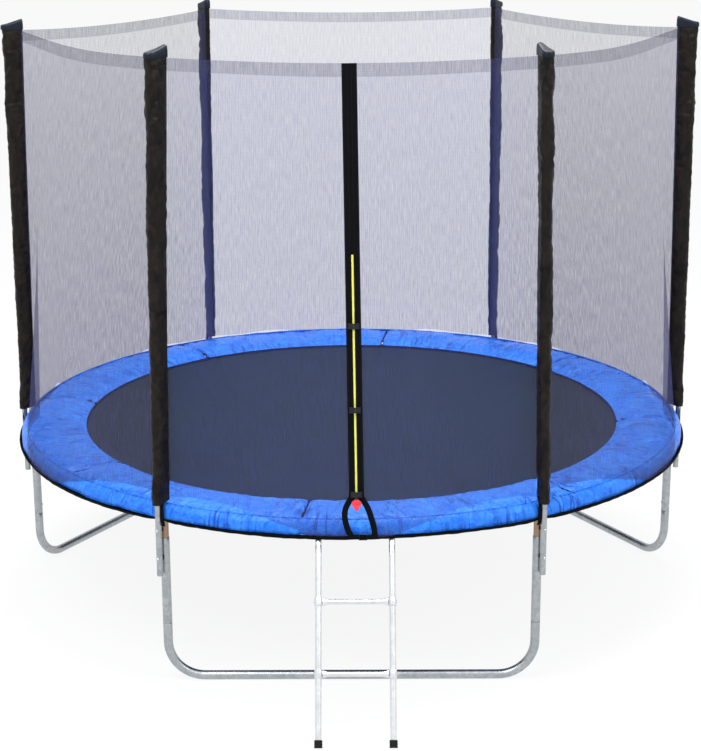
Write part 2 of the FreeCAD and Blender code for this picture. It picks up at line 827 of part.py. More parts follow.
def ladder_sides():
    """X of the two ladder rails."""
    return (ladder_middle - ladder_spacing / 2, ladder_middle + ladder_spacing / 2)


def ring_depth(x):
    """How far in front of the ring's middle its tube passes at a given X."""
    azimuth = math.degrees(math.atan2(x, ring_radius))
    return polar(ring_radius * facet(azimuth), azimuth).x


ladder_axis_depth = sum(ring_depth(x) for x in ladder_sides()) / 2
ladder_bend = Vector(ladder_middle, -ladder_axis_depth - hook_middle, bend_height)
ladder_foot = Vector(ladder_middle, -ring_radius - ladder_foot_reach, 0)
ladder_down = (ladder_foot - ladder_bend).normalize()
ladder_out = Vector(0, ladder_down.z, -ladder_down.y)
hook_bolt_place = (ladder_tube_start + hook_tail) / 2


def beside(point, x):
    """The same point of the ladder's slope at another X."""
    return Vector(x, point.y, point.z)


def along_ladder(distance):
    """Point on the ladder's middle line, measured down from the hooks' bend."""
    return ladder_bend + ladder_down * distance


def ladder_at_height(height):
    """Point on the ladder's middle line at a height."""
    return along_ladder(rung_place(height))


def ladder_rail(x):
    """Straight side tube, cut level at the ground."""
    start = beside(along_ladder(ladder_tube_start), x)
    end = beside(ladder_at_height(-ladder_tube), x)
    side = tube(ladder_tube, ladder_wall, start, end)
    ground = block((x - ladder_tube, end.y - ladder_tube, end.z - ladder_tube),
                   (x + ladder_tube, end.y + 4 * ladder_tube, foot_wall))
    holes = [collar_bolt_hole(x, height) for height in rung_heights]
    return side.cut([ground, hook_bolt_hole(x)] + holes)


def rung_place(height):
    """Distance down the ladder of a rung."""
    return (ladder_bend.z - height) / -ladder_down.z


def collar_bolt_hole(x, height):
    """Hole in the outer side of a ladder rail."""
    middle = beside(ladder_at_height(height), x)
    outside = beside(middle, x + math.copysign(ladder_tube, x - ladder_middle))
    return rod(ladder_bolt + hole_gap, middle, outside, bolt_sides)


def hook_bolt_hole(x):
    """Hole through a rail and the flat of the hook inside it."""
    middle = beside(along_ladder(hook_bolt_place), x)
    return rod(ladder_bolt + hole_gap, middle - ladder_out * ladder_tube,
               middle + ladder_out * ladder_tube, bolt_sides)


def ladder_hook(x):
    """Flat bar that is bolted into a rail and hangs over the ring."""
    middle = Vector(x - hook_width / 2, -ring_depth(x), ring_height)

    def arch(radius):
        turns = [math.radians(hook_inner_angle * step / hook_steps)
                 for step in range(hook_steps + 1)]
        return [middle + Vector(0, -radius * math.cos(turn), radius * math.sin(turn))
                for turn in turns]

    bend = Vector(middle.x, middle.y - hook_middle, bend_height)
    tail = beside(along_ladder(hook_tail), middle.x)
    flat = Vector(0, hook_thickness / 2, 0)
    side = ladder_out * (-hook_thickness / 2)
    outline = (arch(hook_inner + hook_thickness) + arch(hook_inner)[::-1]
               + [bend + flat, tail + side, tail - side, bend - flat])
    return prism(outline, Vector(hook_width, 0, 0)).cut(hook_bolt_hole(x))


def rung_flare(middle, x):
    """Pressed end of a rung, which grows taller towards its collar."""
    inward = math.copysign(1, ladder_middle - x)
    tall_end = beside(middle, x + inward * (collar_diameter / 2 - ladder_wall))
    round_end = tall_end + Vector(inward * rung_flare_length, 0, 0)
    tall = ladder_down * (rung_flare_height / 2)
    low = ladder_down * (rung_diameter / 2 - ladder_wall)
    depth = ladder_out * rung_flare_depth
    outline = [tall_end + tall, round_end + low, round_end - low, tall_end - tall]
    return prism([point - depth / 2 for point in outline], depth)


def ladder_rung(height):
    """Round step with flared ends and a collar on each side tube."""
    left, right = ladder_sides()
    middle = ladder_at_height(height)
    ends = beside(middle, left), beside(middle, right)
    step = rod(rung_diameter, *ends)
    cuts = [rod(rung_diameter - 2 * ladder_wall, *ends)]
    reach = ladder_down * (collar_length / 2)
    collars = []
    for x in (left, right):
        top = beside(middle - reach, x)
        low = beside(middle + reach, x)
        outside = beside(middle, x + math.copysign(collar_diameter, x - ladder_middle))
        collars += [rod(collar_diameter, top, low), rung_flare(middle, x)]
        cuts.append(rod(ladder_tube + 2 * collar_gap, top - reach, low + reach))
        cuts.append(rod(ladder_bolt + hole_gap, beside(middle, x), outside, bolt_sides))
    return step.fuse(collars).cut(cuts)


def ladder_foot_cap(x):
    """Moulded foot pushed over the end of a rail and cut level on the ground."""
    top = beside(ladder_at_height(foot_length), x)
    end = beside(ladder_at_height(-ladder_tube), x)
    cap = rod(ladder_tube + 2 * foot_wall, top, end)
    side = rod(ladder_tube, top, end)
    inner_ground = block((x - ladder_tube, end.y - ladder_tube, end.z - ladder_tube),
                         (x + ladder_tube, end.y + 4 * ladder_tube, foot_wall))
    ground = block((x - ladder_tube, end.y - ladder_tube, end.z - ladder_tube),
                   (x + ladder_tube, end.y + 4 * ladder_tube, 0))
    return cap.cut(side.cut(inner_ground)).cut(ground)


def ladder_bolt_at(middle, out, reach):
    """Round-headed bolt from the middle of a tube to a face at some reach."""
    face = middle + out * reach
    shank = rod(ladder_bolt, middle - out * (ladder_tube / 4), face, bolt_sides)
    head = rod(ladder_bolt_head, face, face + out * ladder_bolt_head_height, bolt_sides)
    return shank.fuse(head)


def ladder_bolts():
    """Hook bolts in front of the rails and collar bolts on their outer sides."""
    bolts = []
    for x in ladder_sides():
        middle = beside(along_ladder(hook_bolt_place), x)
        bolts.append(ladder_bolt_at(middle, ladder_out, ladder_tube / 2))
        out = Vector(math.copysign(1, x - ladder_middle), 0, 0)
        for height in rung_heights:
            middle = beside(ladder_at_height(height), x)
            bolts.append(ladder_bolt_at(middle, out, collar_diameter / 2))
    return bolts


def hook_rooms():
    """Room that the pad leaves round the ladder's hooks and under its skirt."""
    reach = hook_inner + hook_thickness + pad_hook_room
    half = hook_width / 2 + pad_hook_room
    rooms = []
    for x in ladder_sides():
        middle = Vector(x, -ring_depth(x), ring_height)
        rooms.append(rod(2 * reach, middle - Vector(half, 0, 0), middle + Vector(half, 0, 0)))
        rooms.append(block((x - half, middle.y - 3 * reach, pad_skirt_bottom - reach),
                           (x + half, middle.y, ring_height + hook_thickness)))
    return rooms


os.makedirs("parts", exist_ok=True)
leg_azimuths = [leg_angle * index for index in range(leg_count)]

rail_shape = top_rail()
upright_shape = upright()
pole_shape = pole()
sleeve_shape = pole_sleeve()
for index, azimuth in enumerate(leg_azimuths, 1):
    save(f"top_rail_{index}", turned(rail_shape, azimuth))
    save(f"leg_upright_{index}", turned(upright_shape, azimuth))
    save(f"pole_{index}", turned(pole_shape, azimuth))
    save(f"pole_sleeve_{index}", turned(sleeve_shape, azimuth))

base_shape = leg_base()
for name, azimuth in (("front", front), ("left", front - 120), ("right", front + 120)):
    save(f"leg_base_{name}", turned(base_shape, azimuth))

save("leg_screws", *[turned(leg_screw(), azimuth) for azimuth in leg_azimuths])
save("sleeve_caps", *[turned(sleeve_cap(), azimuth) for azimuth in leg_azimuths])
save("sleeve_straps", *[turned(sleeve_strap(), azimuth) for azimuth in leg_azimuths])
save("pole_bolts", *[turned(pole_bolt(height), azimuth)
                     for azimuth in leg_azimuths for height in bolt_heights])
save("pole_nuts", *[turned(pole_nut(height), azimuth)
                    for azimuth in leg_azimuths for height in bolt_heights])
save("pole_spacers", *[turned(pole_spacer(height), azimuth)
                       for azimuth in leg_azimuths for height in bolt_heights])

spring_places = [azimuth + offset for azimuth in leg_azimuths for offset in spring_azimuths()]
save("springs", *[turned(spring(), azimuth) for azimuth in spring_places])
save("triangle_rings", *[turned(triangle_ring(), azimuth) for azimuth in spring_places])
save("jumping_mat", jumping_mat())
save("mat_hem", mat_hem())
save("safety_pad", *[pad_section(index, hook_rooms()) for index in range(pad_sections)])

panel = net_panel(net_columns, 0)
for index, azimuth in enumerate(leg_azimuths, 1):
    middle = azimuth + leg_angle / 2
    if math.isclose(middle, front):
        door_panel = turned(net_panel(net_columns, binding_width), middle)
        cuts = [on_door(door_slit_cut(door_slit, net_hem)), on_door(door_foot_opening(net_hem))]
        save(f"net_panel_{index}", door_panel.cut(cuts))
    else:
        save(f"net_panel_{index}", turned(panel, middle))

save("door_binding", door_binding())
save("zip_coil", zip_coil())
save("zip_slider", zip_slider())
save("zip_pull", zip_pull())
save("clip_sockets", *[clip_socket(place) for place in clip_places])
for index, place in enumerate(clip_places, 1):
    save(f"clip_hook_{index}", clip_hook(place))

left, right = ladder_sides()
save("ladder_rail_left", ladder_rail(left))
save("ladder_rail_right", ladder_rail(right))
save("ladder_hooks", ladder_hook(left), ladder_hook(right))
save("ladder_rungs", *[ladder_rung(height) for height in rung_heights])
save("ladder_feet", ladder_foot_cap(left), ladder_foot_cap(right))
save("ladder_bolts", *ladder_bolts())
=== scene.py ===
"""Looks of a ten foot garden trampoline: steel ring on three U legs, sprung mat, padded rim,
pole and net enclosure with a zipped door, and a hook-on ladder. Metres, +Z up, door at -Y."""
from __future__ import annotations

import json
import logging
import math
from dataclasses import dataclass, field
from enum import Enum
from typing import Callable, Sequence

import bmesh
import bpy
import numpy as np
from mathutils import Matrix, Vector, noise

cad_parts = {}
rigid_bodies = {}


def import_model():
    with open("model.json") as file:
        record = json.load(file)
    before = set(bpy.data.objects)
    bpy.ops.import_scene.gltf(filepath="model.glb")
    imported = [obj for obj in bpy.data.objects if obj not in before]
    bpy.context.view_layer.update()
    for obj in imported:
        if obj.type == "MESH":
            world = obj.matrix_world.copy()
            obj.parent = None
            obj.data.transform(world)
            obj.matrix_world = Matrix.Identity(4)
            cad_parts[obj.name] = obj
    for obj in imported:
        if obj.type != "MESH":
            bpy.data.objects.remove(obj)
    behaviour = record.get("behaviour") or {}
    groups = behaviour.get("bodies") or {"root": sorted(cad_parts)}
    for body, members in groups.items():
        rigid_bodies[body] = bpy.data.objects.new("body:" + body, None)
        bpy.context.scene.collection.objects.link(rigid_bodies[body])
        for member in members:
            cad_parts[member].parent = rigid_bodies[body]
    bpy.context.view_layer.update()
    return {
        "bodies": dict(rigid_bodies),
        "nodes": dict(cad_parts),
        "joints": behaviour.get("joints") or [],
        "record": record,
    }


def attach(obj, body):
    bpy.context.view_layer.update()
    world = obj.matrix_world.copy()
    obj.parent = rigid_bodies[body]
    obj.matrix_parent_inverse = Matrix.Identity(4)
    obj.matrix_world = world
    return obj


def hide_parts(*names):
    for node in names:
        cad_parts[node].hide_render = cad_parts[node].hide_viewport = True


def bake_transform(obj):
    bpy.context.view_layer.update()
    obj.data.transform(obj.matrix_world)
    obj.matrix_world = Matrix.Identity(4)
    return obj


log = logging.getLogger("trampoline")
FRONT = 270.0
WAVE_TURN = 6.283  # one band of a wave texture, in the texture's own units
LEG_AZIMUTHS = tuple(60.0 * index for index in range(6))


class Body(Enum):
    """CAD bodies that pieces ride on."""

    FRAME = "frame"
    MAT = "mat"
    LADDER = "ladder"
    PULL = "pull"


class Edge(Enum):
    """How an outline's corners meet in shading, as the largest smooth angle in degrees."""

    SOFT = 80.0
    ROUNDED = 45.0
    CRISP = 28.0


# ------------------------------------------------------------------ geometry


def polar(radius: float, azimuth: float, height: float = 0.0) -> Vector:
    """Point at a radius and azimuth (degrees) about the middle of the ring."""
    angle = math.radians(azimuth)
    return Vector((radius * math.cos(angle), radius * math.sin(angle), height))


def spin(points: np.ndarray, azimuth: float) -> np.ndarray:
    """Points turned about the middle of the ring.

    Args:
        points: array whose last axis is x, y, z.
        azimuth: degrees, anticlockwise from above.

    Returns:
        The turned copy.
    """
    angle = math.radians(azimuth)
    turned = np.array(points, float)
    turned[..., 0] = points[..., 0] * math.cos(angle) - points[..., 1] * math.sin(angle)
    turned[..., 1] = points[..., 0] * math.sin(angle) + points[..., 1] * math.cos(angle)
    return turned


def ripple(points: np.ndarray, size: float, seed: float) -> np.ndarray:
    """Smooth noise at points.

    Args:
        points: (n, 3) array in metres.
        size: width of one swell in metres.
        seed: shift that gives another pattern.

    Returns:
        One value from about -1 to 1 for each point.
    """
    shift = Vector((seed * 7.31, seed * 3.17, seed * 5.71))
    return np.array([noise.noise(Vector(point) / size + shift) for point in points])


def smooth_step(value: np.ndarray, low: float, high: float) -> np.ndarray:
    """Soft change from 0 at low to 1 at high."""
    share = np.clip((value - low) / (high - low), 0, 1)
    return share * share * (3 - 2 * share)


def drawn_in(points: np.ndarray) -> np.ndarray:
    """Points near the poles drawn in with height, as taut nets bend the poles.

    Args:
        points: array whose last axis is x, y, z.

    Returns:
        The moved copy; the two poles beside the door also lean towards it.
    """
    inwards, doorwards, low, high = 0.014, 0.022, 0.668, 2.553
    moved = np.array(points, float)
    rise = np.clip((points[..., 2] - low) / (high - low), 0, None) ** 1.6
    turn = np.degrees(np.arctan2(points[..., 1], points[..., 0]))
    for azimuth in LEG_AZIMUTHS:
        away = np.abs((turn - azimuth + 180) % 360 - 180)
        share = (1 - smooth_step(away, 3, 28)) * rise
        lean = {240.0: doorwards, 300.0: -doorwards}.get(azimuth, 0.0)
        moved[..., 0] += share * (lean - inwards * math.cos(math.radians(azimuth)))
        moved[..., 1] -= share * inwards * math.sin(math.radians(azimuth))
    return moved


def across_path(path: np.ndarray, closed: bool = False) -> tuple[np.ndarray, np.ndarray]:
    """Two unit vectors across a path at each point, without twist.

    Args:
        path: (n, 3) points.
        closed: whether the last point is followed by the first.

    Returns:
        Two (n, 3) arrays.
    """
    if closed:
        ahead, behind = np.roll(path, -1, 0), np.roll(path, 1, 0)
        along = ahead - behind
    else:
        along = np.gradient(path, axis=0)
    along /= np.maximum(np.linalg.norm(along, axis=1), 1e-9)[:, None]
    start = np.array((0.0, 0, 1)) if abs(along[0][2]) < 0.8 else np.array((1.0, 0, 0))
    first = start - along[0] * (start @ along[0])
    side = np.zeros_like(path)
    side[0] = first / np.linalg.norm(first)
    for index in range(1, len(path)):
        flat = side[index - 1] - along[index] * (side[index - 1] @ along[index])
        side[index] = flat / np.linalg.norm(flat)
    return side, np.cross(along, side)


def arc_points(count: int, start: float, end: float) -> np.ndarray:
    """Angles in radians from start to end, both in degrees."""
    return np.radians(np.linspace(start, end, count))


def circle(count: int) -> np.ndarray:
    """Angles in radians of evenly spaced points once round."""
    return np.arange(count) * math.tau / count


@dataclass
class Form:
    """A mesh put together from grids of points."""

    points: list[np.ndarray] = field(default_factory=list)
    faces: list[tuple[int, ...]] = field(default_factory=list)
    marks: list[int] = field(default_factory=list)
    count: int = 0

    def add(self, points: np.ndarray) -> int:
        """Add loose points and return the index of the first."""
        first = self.count
        self.points.append(np.asarray(points, float).reshape(-1, 3))
        self.count += len(self.points[-1])
        return first

    def grid(self, points: np.ndarray, wrap_u: bool = False, wrap_v: bool = False,
             mark: int = 0, skip: Callable[[int, int], bool] | None = None) -> None:
        """Add a grid of quads.

        Args:
            points: (rows, columns, 3) points.
            wrap_u: whether the last row joins the first.
            wrap_v: whether the last column joins the first.
            mark: material index.
            skip: says which cells stay open.
        """
        rows, columns = points.shape[:2]
        first = self.add(points)
        for row in range(rows if wrap_u else rows - 1):
            for column in range(columns if wrap_v else columns - 1):
                if skip and skip(row, column):
                    continue
                after, beside = (row + 1) % rows, (column + 1) % columns
                self.faces.append((first + row * columns + column,
                                   first + after * columns + column,
                                   first + after * columns + beside,
                                   first + row * columns + beside))
                self.marks.append(mark)

    def lid(self, ring: np.ndarray, mark: int = 0) -> None:
        """Close a ring of points with one face."""
        first = self.add(ring)
        self.faces.append(tuple(range(first, first + len(ring))))
        self.marks.append(mark)

    def capped(self, rings: np.ndarray, mark: int = 0) -> None:
        """Add a skin over rings of points, with a lid on the first and on the last."""
        self.grid(rings, wrap_v=True, mark=mark)
        self.lid(rings[0], mark)
        self.lid(rings[-1], mark)

    def copied(self, points: np.ndarray, faces: Sequence[tuple[int, ...]]) -> None:
        """Add points with the faces between them."""
        first = self.add(points)
        self.faces += [tuple(first + corner for corner in face) for face in faces]
        self.marks += [0] * len(faces)

    def bar(self, path: np.ndarray, radius: float | np.ndarray, sides: int = 12,
            mark: int = 0, closed: bool = False) -> None:
        """Add a round bar along a path.

        Args:
            path: (n, 3) points.
            radius: one radius, or one for each point.
            sides: points round the bar.
            mark: material index.
            closed: whether the bar is a ring.
        """
        rings = sweep(path, radius, sides, closed)
        if closed:
            self.grid(rings, wrap_u=True, wrap_v=True, mark=mark)
        else:
            self.capped(rings, mark)

    def tube(self, path: np.ndarray, radius: float, wall: float, sides: int = 28,
             mark: int = 0, rim: int = 0) -> None:
        """Add a hollow tube with slightly rounded ends.

        Args:
            path: (n, 3) points.
            radius: outer radius.
            wall: wall thickness.
            sides: points round the tube.
            mark: material index.
            rim: material index of the cut ends.
        """
        side, other = across_path(path)
        edge = wall * 0.3
        lift = [edge * v / np.linalg.norm(v) for v in (path[1] - path[0], path[-1] - path[-2])]
        outer = sweep(path, radius, sides)
        inner = sweep(path, radius - wall, sides)
        near = outer.copy()
        near[0] += lift[0]
        near[-1] -= lift[1]
        first = ring_at(path[0], side[0], other[0], radius - edge, sides)
        last = ring_at(path[-1], side[-1], other[-1], radius - edge, sides)
        self.grid(near, wrap_v=True, mark=mark)
        self.grid(inner[::-1], wrap_v=True, mark=mark)
        self.grid(np.stack((inner[0], first, near[0])), wrap_v=True, mark=rim)
        self.grid(np.stack((near[-1], last, inner[-1])), wrap_v=True, mark=rim)

    def make(self, name: str, materials: Sequence[bpy.types.Material], edge: Edge = Edge.ROUNDED,
             closed: bool = True) -> bpy.types.Object:
        """Turn the form into an object.

        Args:
            name: the piece's name.
            materials: one for each mark.
            edge: how far shading stays smooth.
            closed: whether faces are turned outwards.

        Returns:
            The object, linked to the scene.
        """
        mesh = bpy.data.meshes.new(name)
        mesh.from_pydata(np.concatenate(self.points).tolist(), [], self.faces)
        mesh.polygons.foreach_set("material_index", self.marks)
        work = bmesh.new()
        work.from_mesh(mesh)
        bmesh.ops.remove_doubles(work, verts=work.verts, dist=1e-6)
        if closed:
            bmesh.ops.recalc_face_normals(work, faces=work.faces)
        work.to_mesh(mesh)
        work.free()
        return link(name, mesh, materials, edge)


def ring_at(middle: np.ndarray, side: np.ndarray, other: np.ndarray, radius: float,
            sides: int) -> np.ndarray:
    """One round section: (sides, 3) points about a middle."""
    turns = circle(sides)
    return middle + radius * (np.cos(turns)[:, None] * side + np.sin(turns)[:, None] * other)


def sweep(path: np.ndarray, radius: float | np.ndarray, sides: int,
          closed: bool = False) -> np.ndarray:
    """Round sections along a path, as a (points, sides, 3) array."""
    side, other = across_path(path, closed)
    radii = np.broadcast_to(radius, (len(path),))
    return np.stack([ring_at(*row, size, sides)
                     for *row, size in zip(path, side, other, radii)])


def link(name: str, mesh: bpy.types.Mesh, materials: Sequence[bpy.types.Material],
         edge: Edge = Edge.ROUNDED) -> bpy.types.Object:
    """Put a mesh in the scene as a piece with its materials and smooth shading."""
    mesh.materials.clear()
    for material in materials:
        mesh.materials.append(material)
    mesh.polygons.foreach_set("use_smooth", [True] * len(mesh.polygons))
    mesh.set_sharp_from_angle(angle=math.radians(edge.value))
    mesh.update()
    piece = bpy.data.objects.new(name, mesh)
    bpy.context.scene.collection.objects.link(piece)
    return piece


def vertices(mesh: bpy.types.Mesh) -> np.ndarray:
    """A mesh's points as an (n, 3) array."""
    flat = np.zeros(len(mesh.vertices) * 3, np.float32)
    mesh.vertices.foreach_get("co", flat)
    return flat.reshape(-1, 3).astype(float)


def move_vertices(mesh: bpy.types.Mesh, points: np.ndarray) -> None:
    """Write an (n, 3) array back as a mesh's points."""
    mesh.vertices.foreach_set("co", np.asarray(points, np.float32).ravel())
    mesh.update()


def baked(piece: bpy.types.Object) -> bpy.types.Mesh:
    """The piece's evaluated mesh, with its modifiers removed afterwards."""
    graph = bpy.context.evaluated_depsgraph_get()
    mesh = bpy.data.meshes.new_from_object(piece.evaluated_get(graph))
    piece.modifiers.clear()
    return mesh


def place(piece: bpy.types.Object, body: Body, *nodes: str, slot: str = "") -> None:
    """Let a piece ride on its body and stand for CAD nodes."""
    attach(piece, body.value)
    if nodes:
        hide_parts(*nodes)
    log.info("%s: %d faces on %s", piece.name, len(piece.data.polygons), body.value)


# ----------------------------------------------------------- geometry nodes


def add_node(tree: bpy.types.NodeTree, kind: str, inputs: dict | None = None,
             **settings: object) -> bpy.types.Node:
    """Add a node.

    Args:
        tree: node tree.
        kind: node type.
        inputs: values or output sockets by input name or index.
        **settings: properties of the node.

    Returns:
        The node.
    """
    made = tree.nodes.new(kind)
    for name, value in settings.items():
        setattr(made, name, value)
    for key, value in (inputs or {}).items():
        if isinstance(value, bpy.types.NodeSocket):
            tree.links.new(value, made.inputs[key])
        else:
            made.inputs[key].default_value = value
    return made


@dataclass
class Pattern:
    """A Geometry Nodes tree with named inputs, run once to give a plain mesh."""

    name: str
    inputs: dict[str, str]

    def start(self) -> tuple[bpy.types.NodeTree, bpy.types.Node]:
        """New tree with its inputs, and its input node."""
        tree = bpy.data.node_groups.new(self.name, "GeometryNodeTree")
        for label, kind in {"Geometry": "Geometry", **self.inputs, "Finish": "Material"}.items():
            tree.interface.new_socket(label, in_out="INPUT", socket_type=f"NodeSocket{kind}")
        tree.interface.new_socket("Geometry", in_out="OUTPUT",
                                  socket_type="NodeSocketGeometry")
        return tree, add_node(tree, "NodeGroupInput")

    def end(self, tree: bpy.types.NodeTree, given: bpy.types.Node,
            shape: bpy.types.NodeSocket) -> None:
        """Realise the shape, set its finish and lead it out."""
        real = add_node(tree, "GeometryNodeRealizeInstances", {"Geometry": shape})
        dressed = add_node(tree, "GeometryNodeSetMaterial",
                           {"Geometry": real.outputs[0], "Material": given.outputs["Finish"]})
        add_node(tree, "NodeGroupOutput", {"Geometry": dressed.outputs[0]})

    def run(self, tree: bpy.types.NodeTree, source: bpy.types.Mesh, finish: bpy.types.Material,
            values: dict[str, object]) -> bpy.types.Mesh:
        """Run the tree on a source mesh.

        Args:
            tree: the finished tree.
            source: mesh that the tree starts from.
            finish: material of the result.
            values: values of the named inputs.

        Returns:
            A plain mesh.
        """
        holder = bpy.data.objects.new(f"{self.name}_source", source)
        bpy.context.scene.collection.objects.link(holder)
        modifier = holder.modifiers.new(self.name, "NODES")
        modifier.node_group = tree
        identifiers = {item.name: item.identifier for item in tree.interface.items_tree
                       if item.in_out == "INPUT"}
        for label, value in {**values, "Finish": finish}.items():
            modifier[identifiers[label]] = value
        mesh = baked(holder)
        bpy.data.objects.remove(holder)
        return mesh


def scattered(name: str, template: bpy.types.Object, spots: Sequence[tuple[Vector, Vector]],
              finish: bpy.types.Material, side: Vector = Vector((0, 0, 1))
              ) -> bpy.types.Object:
    """Set copies of a template on spots with Geometry Nodes.

    Args:
        name: the piece's name.
        template: object drawn about the origin with its axis on +Z; it is removed.
        spots: place and axis of each copy.
        finish: material.
        side: direction of the template's +X.

    Returns:
        One plain mesh object.
    """
    source = bpy.data.meshes.new(f"{name}_spots")
    source.from_pydata([spot for spot, _ in spots], [], [])
    axes = source.attributes.new("axis", "FLOAT_VECTOR", "POINT")
    axes.data.foreach_set("vector", np.array([axis for _, axis in spots]).ravel())
    pattern = Pattern(f"{name}_pattern", {"Piece": "Object", "Side": "Vector"})
    tree, given = pattern.start()
    spots_node = add_node(tree, "GeometryNodeMeshToPoints", {"Mesh": given.outputs["Geometry"]})
    axis = add_node(tree, "GeometryNodeInputNamedAttribute", {"Name": "axis"},
                    data_type="FLOAT_VECTOR")
    turn = add_node(tree, "FunctionNodeAxesToRotation",
                    {0: axis.outputs["Attribute"], 1: given.outputs["Side"]},
                    primary_axis="Z", secondary_axis="X")
    shape = add_node(tree, "GeometryNodeObjectInfo", {"Object": given.outputs["Piece"]})
    copies = add_node(tree, "GeometryNodeInstanceOnPoints",
                      {"Points": spots_node.outputs[0], "Instance": shape.outputs["Geometry"],
                       "Rotation": turn.outputs[0]})
    pattern.end(tree, given, copies.outputs[0])
    mesh = pattern.run(tree, source, finish, {"Piece": template, "Side": side})
    bpy.data.objects.remove(template)
    return link(name, mesh, [finish])


def stitched(name: str, paths: Sequence[np.ndarray], finish: bpy.types.Material,
             pitch: float = 0.008, length: float = 0.0055, thread: float = 0.0012
             ) -> bpy.types.Object:
    """Sew rows of stitches along paths with Geometry Nodes.

    Args:
        name: the piece's name.
        paths: (n, 3) open runs of points.
        finish: thread material.
        pitch: distance between stitches.
        length: length of one stitch.
        thread: thickness of the thread.

    Returns:
        One plain mesh object.
    """
    points, edges = [], []
    for path in paths:
        first = len(points)
        points += path.tolist()
        edges += [(first + index, first + index + 1) for index in range(len(path) - 1)]
    source = bpy.data.meshes.new(f"{name}_rows")
    source.from_pydata(points, edges, [])
    pattern = Pattern(f"{name}_pattern", {"Pitch": "Float", "Stitch": "Vector"})
    tree, given = pattern.start()
    rows = add_node(tree, "GeometryNodeMeshToCurve", {"Mesh": given.outputs["Geometry"]})
    spots = add_node(tree, "GeometryNodeResampleCurve",
                     {"Curve": rows.outputs[0], "Length": given.outputs["Pitch"]}, mode="LENGTH")
    along = add_node(tree, "GeometryNodeInputTangent")
    turn = add_node(tree, "FunctionNodeAlignRotationToVector", {"Vector": along.outputs[0]},
                    axis="Z")
    bead = add_node(tree, "GeometryNodeMeshIcoSphere", {"Radius": 0.5, "Subdivisions": 1})
    copies = add_node(tree, "GeometryNodeInstanceOnPoints",
                      {"Points": spots.outputs[0], "Instance": bead.outputs[0],
                       "Rotation": turn.outputs[0], "Scale": given.outputs["Stitch"]})
    pattern.end(tree, given, copies.outputs[0])
    mesh = pattern.run(tree, source, finish,
                       {"Pitch": pitch, "Stitch": (thread, thread, length)})
    return link(name, mesh, [finish], Edge.SOFT)


# ----------------------------------------------------------------- finishes


def linear(code: str) -> tuple[float, float, float, float]:
    """Linear colour of an sRGB hex code such as 8A8F94."""
    shares = [int(code[index:index + 2], 16) / 255 for index in (0, 2, 4)]
    return (*(s / 12.92 if s <= 0.04045 else ((s + 0.055) / 1.055) ** 2.4 for s in shares), 1.0)


class Graph:
    """A shader tree written as expressions: most methods add a node and give its output."""

    def __init__(self, tree: bpy.types.NodeTree) -> None:
        """Start from an empty tree."""
        self.tree = tree
        self.shader: bpy.types.Node | None = None
        tree.nodes.clear()

    def node(self, kind: str, inputs: dict | None = None, **settings: object
             ) -> bpy.types.Node:
        """Add a shader node."""
        return add_node(self.tree, f"ShaderNode{kind}", inputs, **settings)

    def math(self, operation: str, *values: float | bpy.types.NodeSocket
             ) -> bpy.types.NodeSocket:
        """Result of an operation on values."""
        return self.node("Math", dict(enumerate(values)), operation=operation).outputs[0]

    def place(self) -> bpy.types.NodeSocket:
        """Place on the piece, in metres."""
        return self.node("TexCoord").outputs["Object"]

    def clouds(self, where: bpy.types.NodeSocket, scale: float, detail: float = 2.0,
               **settings: float) -> bpy.types.NodeSocket:
        """Noise from 0 to 1."""
        return self.node("TexNoise", {"Vector": where, "Scale": scale, "Detail": detail,
                                      **settings}).outputs[0]

    def waves(self, where: bpy.types.NodeSocket, width: float, axis: str, **settings: float
              ) -> bpy.types.NodeSocket:
        """Bands of a width in metres across an axis."""
        return self.node("TexWave", {"Vector": where, "Scale": 1 / width / WAVE_TURN, **settings},
                         bands_direction=axis).outputs["Fac"]

    def ranged(self, value: bpy.types.NodeSocket, start: float = 0.0, end: float = 1.0,
               low: float = 0.0, high: float = 1.0) -> bpy.types.NodeSocket:
        """Value moved from the range start to end into the range low to high."""
        return self.node("MapRange", {"Value": value, "From Min": start, "From Max": end,
                                      "To Min": low, "To Max": high}).outputs[0]

    def between(self, share: bpy.types.NodeSocket, dark: str, light: str
                ) -> bpy.types.NodeSocket:
        """Colour between two hex codes."""
        ramp = self.node("ValToRGB", {"Fac": share})
        for stop, code in zip(ramp.color_ramp.elements, (dark, light)):
            stop.color = linear(code)
        return ramp.outputs[0]

    def lead(self, output: bpy.types.NodeSocket, name: str = "Base Color") -> None:
        """Lead an output into the main shader."""
        self.tree.links.new(output, self.shader.inputs[name])

    def emboss(self, height: bpy.types.NodeSocket, depth: float, strength: float = 1.0) -> None:
        """Lead a height into the main shader as a bump that is depth metres deep."""
        bump = self.node("Bump", {"Height": height, "Distance": depth, "Strength": strength})
        self.lead(bump.outputs[0], "Normal")


@dataclass(frozen=True)
class Finish:
    """What every finish has: a name, its main colour and a typical roughness."""

    name: str
    colour: str
    roughness: float

    def build(self) -> bpy.types.Material:
        """Make the material: a shader with its constant sockets, then what changes over it."""
        material = bpy.data.materials.new(self.name)
        material.use_nodes = True
        graph = Graph(material.node_tree)
        graph.shader = graph.node("BsdfPrincipled", {
            "Base Color": linear(self.colour), "Roughness": self.roughness, **self.sockets()})
        graph.node("OutputMaterial", {"Surface": graph.shader.outputs[0]})
        self.paint(graph)
        return material

    def sockets(self) -> dict[str, float]:
        """Constant sockets of the shader beside colour and roughness."""
        raise NotImplementedError

    def paint(self, graph: Graph) -> None:
        """Add what changes from place to place."""
        raise NotImplementedError


